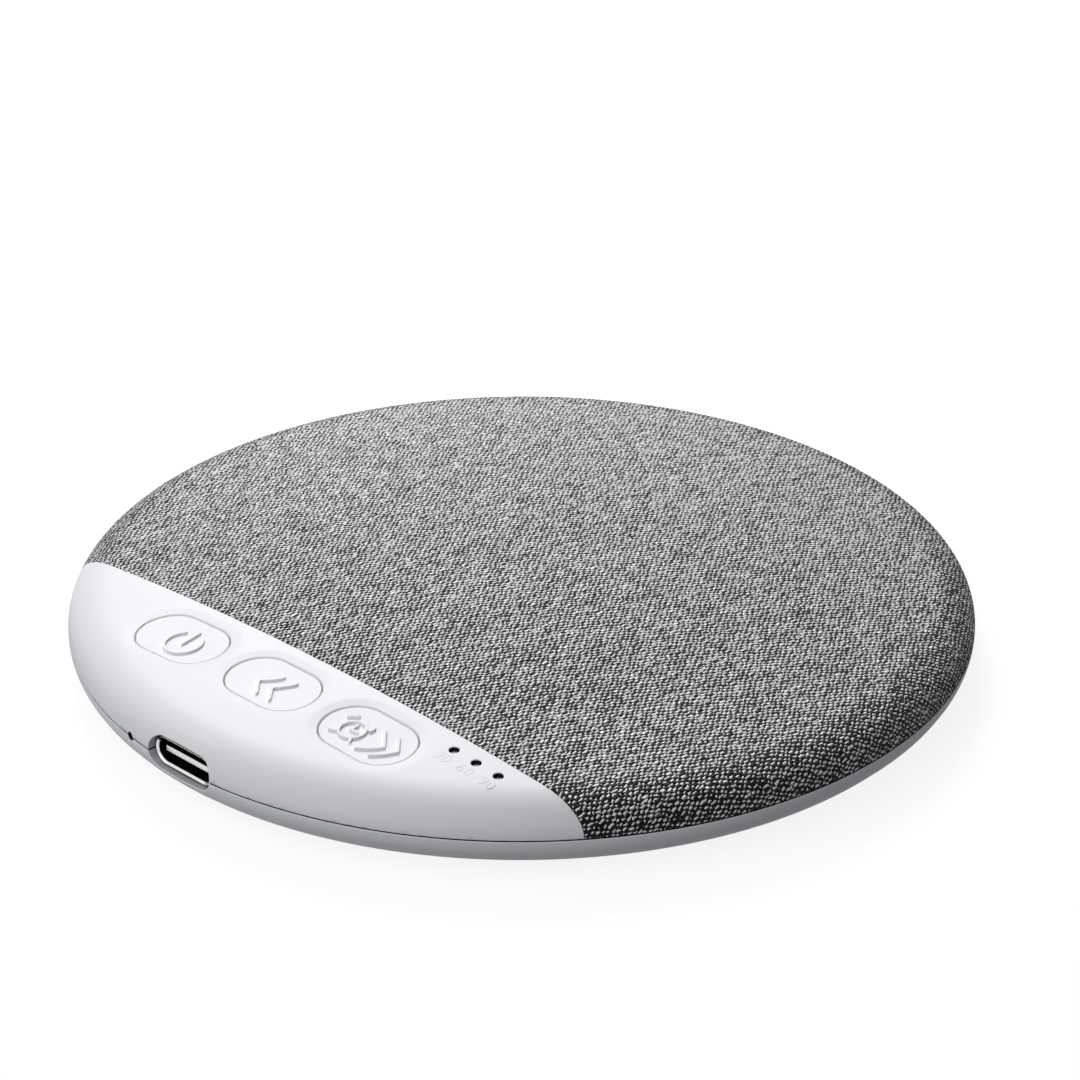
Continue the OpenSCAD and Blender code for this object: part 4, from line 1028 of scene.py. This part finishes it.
def bell_shapes():
    """Outlines of the clock's two bells."""
    return [[(-3.72, 0.76), (-3.41, 1.1), (-3.06, 1.33), (-2.72, 1.49), (-2.85, 1.75), (-3.35, 1.6),
             (-3.75, 1.25), (-3.95, 0.92)],
            [(-0.42, 0.5), (-0.05, 0.4), (0.08, 0.85), (-0.04, 1.32), (-0.45, 1.5), (-0.95, 1.15)]]


def cap_z(case, caps, plan, centre):
    """Height of a cap's hollow top over plan points."""
    depth = np.clip(-stadium_distance(plan - centre, caps.length, caps.width) / (caps.width / 2), 0, 1)
    return dome_z(case, plan) - caps.dish_depth - caps.sunk - caps.hollow * (1 - (1 - depth) ** 2)


SYMBOL_SOFT, SYMBOL_SINK = 0.03, 0.1  # soft top edge of a symbol, and how far it is rooted in the cap
FLANGE_RISE = 0.3  # height of the flange's underside over the post's end
OVERLAP = 0.05


def cap_body(caps, ground, centre, foot_z):
    """Solids of a cap: its hollowed top with the skirt, the flange under the panel, and the post."""
    base = POWER_LOW[2] + FLANGE_RISE
    wide, high, soft = caps.flange_width, caps.flange_height, OVERLAP
    rings = [stadium(caps.length, caps.width, -gap, CAP_POINTS) for gap in (0, *EDGE_ROWS)]
    plan, triangles = patch(rings[0], [], [*rings[1:], grid(*CAP_GRID)], EDGE_CLEAR)
    drop = round_over(-stadium_distance(plan, caps.length, caps.width), caps.edge_round)
    plan = plan + centre
    top = np.column_stack([plan, ground(plan) - np.minimum(drop, caps.edge_round)])
    under = np.column_stack([plan, np.full(len(plan), base + OVERLAP)])
    rows = [(wide - soft, 0), (wide, soft), (wide, high - soft), (wide - soft, high)]
    flange = [np.column_stack([stadium(caps.length, caps.width, grow, 90) + centre, np.full(90, base + up)])
              for grow, up in rows]
    post = [(caps.post_radius, foot_z), (caps.post_radius, base + 2 * OVERLAP)]
    return [closed_shell(top, under, triangles), loft(flange), lathe(post, centre, 32)]


def cap_symbol(caps, ground, centre, lines, shapes):
    """Raised strokes and flat shapes of a cap's symbol."""
    place = np.array(centre) + [caps.symbol_shift, 0]
    parts = []
    for line in lines:
        line = dense(line, 0.3)
        closed = np.linalg.norm(line[0] - line[-1]) < 0.3
        parts.append(stroke(line + place, caps.symbol_width, caps.symbol_height, SYMBOL_SOFT, ground, closed,
                            SYMBOL_SINK))
    for shape in shapes:
        outline = np.array(shape)[::-1] if area(shape) < 0 else np.array(shape)
        parts.append(raised(outline + place, caps.symbol_height, SYMBOL_SOFT, ground, SYMBOL_SINK))
    return parts


class MACHINE_OT_button_caps(bpy.types.Operator):
    """Moulds the three button caps with their raised symbols, flanges and posts"""

    bl_idname = "machine.button_caps"
    bl_label = "Button caps"

    def execute(self, context):
        case, caps = context.scene.machine_case, context.scene.machine_caps
        buttons = [("power", POWER_LOW, power_lines(), []), ("back", BACK_LOW, back_lines(), []),
                   ("next", NEXT_LOW, next_lines(), bell_shapes())]
        for (key, low, lines, shapes), centre in zip(buttons, cap_centres(caps)):
            ground = partial(cap_z, case, caps, centre=centre)
            parts = cap_body(caps, ground, centre, low[2]) + cap_symbol(caps, ground, centre, lines, shapes)
            new_piece(key + "_cap", *join(parts), case_plastic(), "button_abs", key + "_key",
                      replaces=[key + "_button"])
        return {"FINISHED"}


SHELL_POINTS = 96  # points round the steel shell
LEG_LENGTH, LEG_WIDTH = 1.1, 1.0
LEG_RISE = 0.76  # height of the board legs' underside over the shell's lowest line
LEG_BEHIND_FRONT, LEG_BEFORE_BACK = 3.25, 1.6
BLOCK_DEPTH, BLOCK_BEVEL = 2.3, 0.05  # the block that the tongue grows from
BLOCK_INSET = 0.31  # how far the block's side lies inside the shell's outer face
NOSE_ROUND = 0.12


def port_loop(port, grow, y):
    """Loop of the steel shell's outline at a depth, grown outward."""
    ring = stadium(port.shell_length, port.shell_height, grow, SHELL_POINTS)
    return np.column_stack([ring[:, 0], np.full(SHELL_POINTS, y), port.opening_z + ring[:, 1]])


class MACHINE_OT_charging_port(bpy.types.Operator):
    """Draws the port's steel shell with its coined lip and board legs, and moulds the tongue inside it"""

    bl_idname = "machine.charging_port"
    bl_label = "Charging port"

    def execute(self, context):
        port = context.scene.machine_port
        front, back = STEEL_LOW[1], STEEL_HIGH[1]
        middle, sheet = port.opening_z, port.sheet
        # The lip is coined: a small round outside, then a flat bevel that leads the plug in
        rows = [(0, back), (0, front + 0.08), (-0.02, front + 0.02), (-0.06, front),
                (0.04 - sheet, front + 0.14), (-sheet, front + 0.2), (-sheet, back)]
        inner_wall, bevel = len(rows) - 2, 3
        parts = [loft([port_loop(port, grow, y) for grow, y in rows], True)]
        board_top = middle - port.shell_height / 2 + LEG_RISE
        for x in (LEG_LENGTH / 2 - STEEL_HIGH[0], STEEL_HIGH[0] - LEG_LENGTH / 2):
            for y in (front + LEG_BEHIND_FRONT, back - LEG_BEFORE_BACK):
                leg = [(x + LEG_LENGTH * side, y + LEG_WIDTH * end)
                       for side, end in ((-0.5, 0), (0.5, 0), (0.5, 1), (-0.5, 1))]
                parts.append(loft([[(*p, z) for p in leg] for z in (board_top, board_top + sheet)]))
        shell = new_piece("port_steel_shell", *join(parts), nickel_steel(), "port_steel",
                          replaces=["usb_shell"])
        # Painted shade: the shell's inner wall, and the upper part of its lip bevel that lies under the
        # opening's overhang, take the near-black steel
        shell.data.materials.append(painted_shade_steel())
        for face in shell.data.polygons[: SHELL_POINTS * len(rows)]:
            row = face.index // SHELL_POINTS
            high = face.center.z / MM > middle + 0.3 * port.shell_height
            if row == inner_wall or (high and bevel <= row <= inner_wall):
                face.material_index = 1
        self.tongue(port, middle)
        return {"FINISHED"}

    def tongue(self, port, middle):
        """Moulds the dark insulator, with its tongue and the bright plate that edges it."""
        front, back = PORT_LOW[1], PORT_HIGH[1]
        root = back - BLOCK_DEPTH
        half, reach = port.tongue_height / 2 - NOSE_ROUND, port.tongue_length / 2
        upper = [(root + 0.3, port.tongue_height / 2)]
        upper += [(front + NOSE_ROUND * (1 - math.cos(a)), half + NOSE_ROUND * math.sin(a))
                  for a in np.radians(np.linspace(90, 0, 6))]
        line = upper + [(y, -z) for y, z in upper[::-1]]
        tongue = loft([np.array([(x, y, middle + z) for y, z in line]) for x in (-reach, reach)])
        side, end = -BLOCK_INSET, -BLOCK_INSET - BLOCK_BEVEL
        rows = [(end, root), (side, root + BLOCK_BEVEL), (side, back - BLOCK_BEVEL), (end, back)]
        block = loft([port_loop(port, grow, y) for grow, y in rows])
        piece = new_piece("port_tongue", *join([tongue, block]), tongue_polymer(), "port_polymer",
                          replaces=["usb_insulator"])
        piece.data.materials.append(nickel_steel())
        for face in piece.data.polygons:
            if face.center.y / MM < front + NOSE_ROUND:
                face.material_index = 1


FOOT_ROUND = 0.35
FOOT_HOLLOW = [(2.9, 0.0), (2.6, 0.04), (2.3, 0.12), (0.01, 0.14)]  # radius and height of its line


class MACHINE_OT_rubber_feet(bpy.types.Operator):
    """Moulds the four rubber feet with a rounded edge and a shallow hollow"""

    bl_idname = "machine.rubber_feet"
    bl_label = "Rubber feet"

    def execute(self, context):
        profile = [(0.01, FEET_HIGH[2]), (FOOT_RADIUS, FEET_HIGH[2])]
        profile += [(FOOT_RADIUS - FOOT_ROUND * (1 - math.cos(a)), FOOT_ROUND * (1 - math.sin(a)))
                    for a in np.radians((0, 18, 36, 54, 72, 90))]
        parts = [lathe(profile + FOOT_HOLLOW, spot, 56) for spot in FOOT_SPOTS]
        new_piece("silicone_feet", *join(parts), foot_rubber(), "foot_rubber", replaces=["rubber_feet"])
        return {"FINISHED"}


# ---- Parts inside --------------------------------------------------------------------------------

# Each inside finish: real material and process, colour, roughness, grain size and depth in millimetres,
# unevenness of colour, and 1 for bare metal. The comment says what each gives the eye.
INSIDE = {
    # Flat black moulding behind the cloth, so that no hole shows through
    "grille_abs": ("Black ABS, moulded", "#1D1E20", 0.6, 0.2, 0.01, 0.1, 0.0),
    # Glass-filled nylon: dull black with pale fibre flecks
    "switch_plastic": ("Glass-filled nylon, moulded", "#232427", 0.55, 0.12, 0.008, 0.3, 0.0),
    # Black oxide on steel: dark, oily sheen
    "screw_steel": ("Black-oxide steel, rolled thread", "#4A4B4E", 0.38, 0.1, 0.004, 0.2, 1.0),
    # Filled epoxy with a fine matt grain
    "chip_epoxy": ("Transfer-moulded epoxy", "#1B1C1E", 0.62, 0.06, 0.004, 0.15, 0.0),
    # Sintered ceramic: matt beige, slightly mottled
    "chip_ceramic": ("Sintered ceramic", "#B9A183", 0.5, 0.08, 0.003, 0.25, 0.0),
    # Hard gold over nickel: warm and bright, with faint rolling lines
    "contact_gold": ("Gold-plated bronze, rolled", "#D9B45C", 0.22, 0.05, 0.001, 0.1, 1.0),
    # Lamp package: milky epoxy over a white cup
    "lamp_epoxy": ("Cast epoxy, diffusing", "#E9E7D8", 0.3, 0.1, 0.002, 0.1, 0.0),
    # Smoked polycarbonate: dark and glossy, so that an unlit lamp reads as a dark hole
    "guide_smoked": ("Smoked polycarbonate, moulded", "#17181A", 0.3, 0.3, 0.001, 0.1, 0.0),
    # Aluminium laminate pouch: soft silver with faint embossing
    "cell_foil": ("Aluminium laminate foil", "#C3C5C8", 0.34, 0.5, 0.01, 0.08, 1.0),
    # Open-cell foam: deep matt grain
    "pad_foam": ("Polyurethane foam, die cut", "#2B2B2D", 0.95, 0.35, 0.05, 0.4, 0.0),
    # Extruded insulation: smooth with a slight waviness
    "lead_pvc": ("PVC insulation, extruded", "#A32A24", 0.38, 0.6, 0.004, 0.12, 0.0),
    # Powder coat: fine orange peel
    "basket_paint": ("Powder-coated steel", "#26272A", 0.45, 0.3, 0.012, 0.08, 0.0),
    # Zinc over steel: cool grey with a soft bloom
    "magnet_steel": ("Zinc-plated steel, pressed", "#B4B8BC", 0.36, 0.4, 0.003, 0.12, 1.0),
    # Enamelled copper wire: warm, close ridges
    "coil_copper": ("Enamelled copper wire, wound", "#B8693A", 0.3, 0.1, 0.01, 0.2, 1.0),
    # Pressed pulp: dark, fibrous
    "cone_paper": ("Pressed paper pulp", "#37342F", 0.9, 0.25, 0.03, 0.35, 0.0),
    # Butyl rubber roll: black, slightly waxy
    "surround_rubber": ("Butyl rubber, moulded", "#1A1A1B", 0.66, 0.2, 0.006, 0.15, 0.0),
    # Solder mask over laminate: smooth lacquer with the weave faintly under it
    "board_laminate": ("Solder mask on glass laminate", "#1E5A3C", 0.3, 0.45, 0.004, 0.2, 0.0),
}


class MACHINE_OT_inside_parts(bpy.types.Operator):
    """Gives the parts inside the case their real finishes"""

    bl_idname = "machine.inside_parts"
    bl_label = "Parts inside"

    def execute(self, context):
        slots = {part["node"]: part["material_slot"] for part in frame["record"]["subparts"]}
        for node, piece in frame["nodes"].items():
            if slots[node] in INSIDE:
                name, code, *grain, metallic = INSIDE[slots[node]]
                piece.data.materials.clear()
                piece.data.materials.append(moulded(name, linear(code), *grain, metallic=metallic))
        return {"FINISHED"}


# ---- Stage ---------------------------------------------------------------------------------------


LENS, SENSOR = 119.12, 36
CAMERA_PLACE = (0.2473, -0.24783, 0.19127)  # metres
CAMERA_BACK = (0.62569, -0.63429, 0.45408)  # direction from what it looks at to the camera
FLOOR_SIDE = 6.0  # metres
SKY_TOP = (-0.1, -0.775, 0.625)  # direction of the brightest part of the studio's walls
SKY_LEVEL = 1.13
SOFTBOX_PLACE = (-0.207, 0.151, 0.239)  # metres
SOFTBOX_SIZE, SOFTBOX_POWER = 0.21, 1.0


def stand(name, data, place, back):
    """Camera or lamp at a place, with its back turned a way."""
    thing = bpy.data.objects.new(name, data)
    thing.location = place
    thing.rotation_mode = "QUATERNION"
    thing.rotation_quaternion = (-Vector(back)).to_track_quat("-Z", "Y")
    bpy.context.scene.collection.objects.link(thing)
    return thing


def floor_card():
    # Matt card: a faint fibre in an even pale grey. It is seen, and mirrored in metal, as plain white, and
    # still takes the shadow; the light it throws on the object is that of the card alone.
    material, tree = new_material("Studio floor, pale matt card")
    place = add(tree, "ShaderNodeTexCoord").outputs["Object"]
    fibre = add(tree, "ShaderNodeTexNoise", {"Vector": place, "Scale": 400.0, "Detail": 3.0})
    tone = add(tree, "ShaderNodeMix", {
        "Factor": fibre, "A": (*linear("#838589"), 1), "B": (*linear("#7D7F84"), 1)}, data_type="RGBA")
    card = add(tree, "ShaderNodeBsdfDiffuse", {"Color": tone})
    rays = add(tree, "ShaderNodeLightPath").outputs
    power = add(tree, "ShaderNodeMapRange", {"Value": rays["Is Camera Ray"], "To Min": 0.6, "To Max": 0.87})
    glow = add(tree, "ShaderNodeEmission", {"Color": (1, 1, 1, 1), "Strength": power})
    lit = add(tree, "ShaderNodeAddShader", {0: card, 1: glow})
    seen = rays["Is Camera Ray"]
    for other in ("Is Glossy Ray", "Is Transmission Ray"):
        seen = add(tree, "ShaderNodeMath", {0: seen, 1: rays[other]}, operation="MAXIMUM")
    both = add(tree, "ShaderNodeMixShader", {0: seen, 1: card, 2: lit})
    add(tree, "ShaderNodeOutputMaterial", {"Surface": both})
    return material


def studio_walls():
    """World that is white where it is seen, and lights the object softly from the front."""
    world = bpy.data.worlds.new("studio")
    world.use_nodes = True
    tree = world.node_tree
    tree.nodes.clear()
    towards = add(tree, "ShaderNodeTexCoord").outputs["Generated"]
    height = add(tree, "ShaderNodeVectorMath", {0: towards, 1: Vector(SKY_TOP).normalized()},
                 operation="DOT_PRODUCT")
    sky = add(tree, "ShaderNodeMapRange", {
        "Value": height, "From Min": 0.3, "From Max": 1.0, "To Min": 0.0, "To Max": SKY_LEVEL},
        interpolation_type="SMOOTHSTEP")
    soft = add(tree, "ShaderNodeBackground", {"Color": (0.985, 0.99, 1.0, 1), "Strength": sky})
    plain = add(tree, "ShaderNodeBackground", {"Color": (1, 1, 1, 1), "Strength": 1.0})
    rays = add(tree, "ShaderNodeLightPath").outputs
    both = add(tree, "ShaderNodeMixShader", {0: rays["Is Camera Ray"], 1: soft, 2: plain})
    add(tree, "ShaderNodeOutputWorld", {"Surface": both})
    return world


class MACHINE_OT_stage(bpy.types.Operator):
    """Sets the camera, the pale floor and the soft studio light"""

    bl_idname = "machine.stage"
    bl_label = "Stage"

    def execute(self, context):
        scene = context.scene
        scene.view_settings.view_transform = "Standard"
        lens = bpy.data.cameras.new("camera")
        lens.lens, lens.sensor_width = LENS, SENSOR
        lens.clip_start, lens.clip_end = 0.01, 20
        scene.camera = stand("camera", lens, CAMERA_PLACE, CAMERA_BACK)

        mesh = bpy.data.meshes.new("floor")
        reach = FLOOR_SIDE / 2
        mesh.from_pydata([(-reach, -reach, 0), (reach, -reach, 0), (reach, reach, 0), (-reach, reach, 0)], [],
                         [(0, 1, 2, 3)])
        mesh.materials.append(floor_card())
        floor = bpy.data.objects.new("floor", mesh)
        scene.collection.objects.link(floor)

        scene.world = studio_walls()
        lamp = bpy.data.lights.new("softbox", "AREA")
        lamp.shape, lamp.size, lamp.energy = "DISK", SOFTBOX_SIZE, SOFTBOX_POWER
        stand("softbox", lamp, SOFTBOX_PLACE, SOFTBOX_PLACE)
        return {"FINISHED"}


# ---- Sidebar and run -----------------------------------------------------------------------------

PIECES = (MACHINE_OT_stage, MACHINE_OT_lower_shell, MACHINE_OT_control_panel, MACHINE_OT_speaker_cloth,
          MACHINE_OT_button_caps, MACHINE_OT_charging_port, MACHINE_OT_rubber_feet, MACHINE_OT_inside_parts)


class MACHINE_PT_sidebar(bpy.types.Panel):
    """Lists the sizes, the colours and each piece's button"""

    bl_label = "Sound machine"
    bl_idname = "MACHINE_PT_sidebar"
    bl_space_type = "VIEW_3D"
    bl_region_type = "UI"
    bl_category = "Sound machine"

    def draw(self, context):
        for name in ("machine_case", "machine_caps", "machine_port", "machine_finishes"):
            group = getattr(context.scene, name)
            column = self.layout.column(align=True)
            for key in group.bl_rna.properties.keys():
                if key not in ("rna_type", "name"):
                    column.prop(group, key)
        for piece in PIECES:
            self.layout.operator(piece.bl_idname)


GROUPS = {"machine_case": CaseSizes, "machine_caps": ButtonSizes, "machine_port": PortSizes,
          "machine_finishes": Finishes}


def register():
    for group in (*GROUPS.values(), *PIECES, MACHINE_PT_sidebar):
        bpy.utils.register_class(group)
    for name, group in GROUPS.items():
        setattr(bpy.types.Scene, name, PointerProperty(type=group))


def unregister():
    for name in GROUPS:
        delattr(bpy.types.Scene, name)
    for group in reversed((*GROUPS.values(), *PIECES, MACHINE_PT_sidebar)):
        bpy.utils.unregister_class(group)


def main():
    register()
    for piece in PIECES:
        group, name = piece.bl_idname.split(".")
        getattr(getattr(bpy.ops, group), name)()


if __name__ == "__main__":
    main()
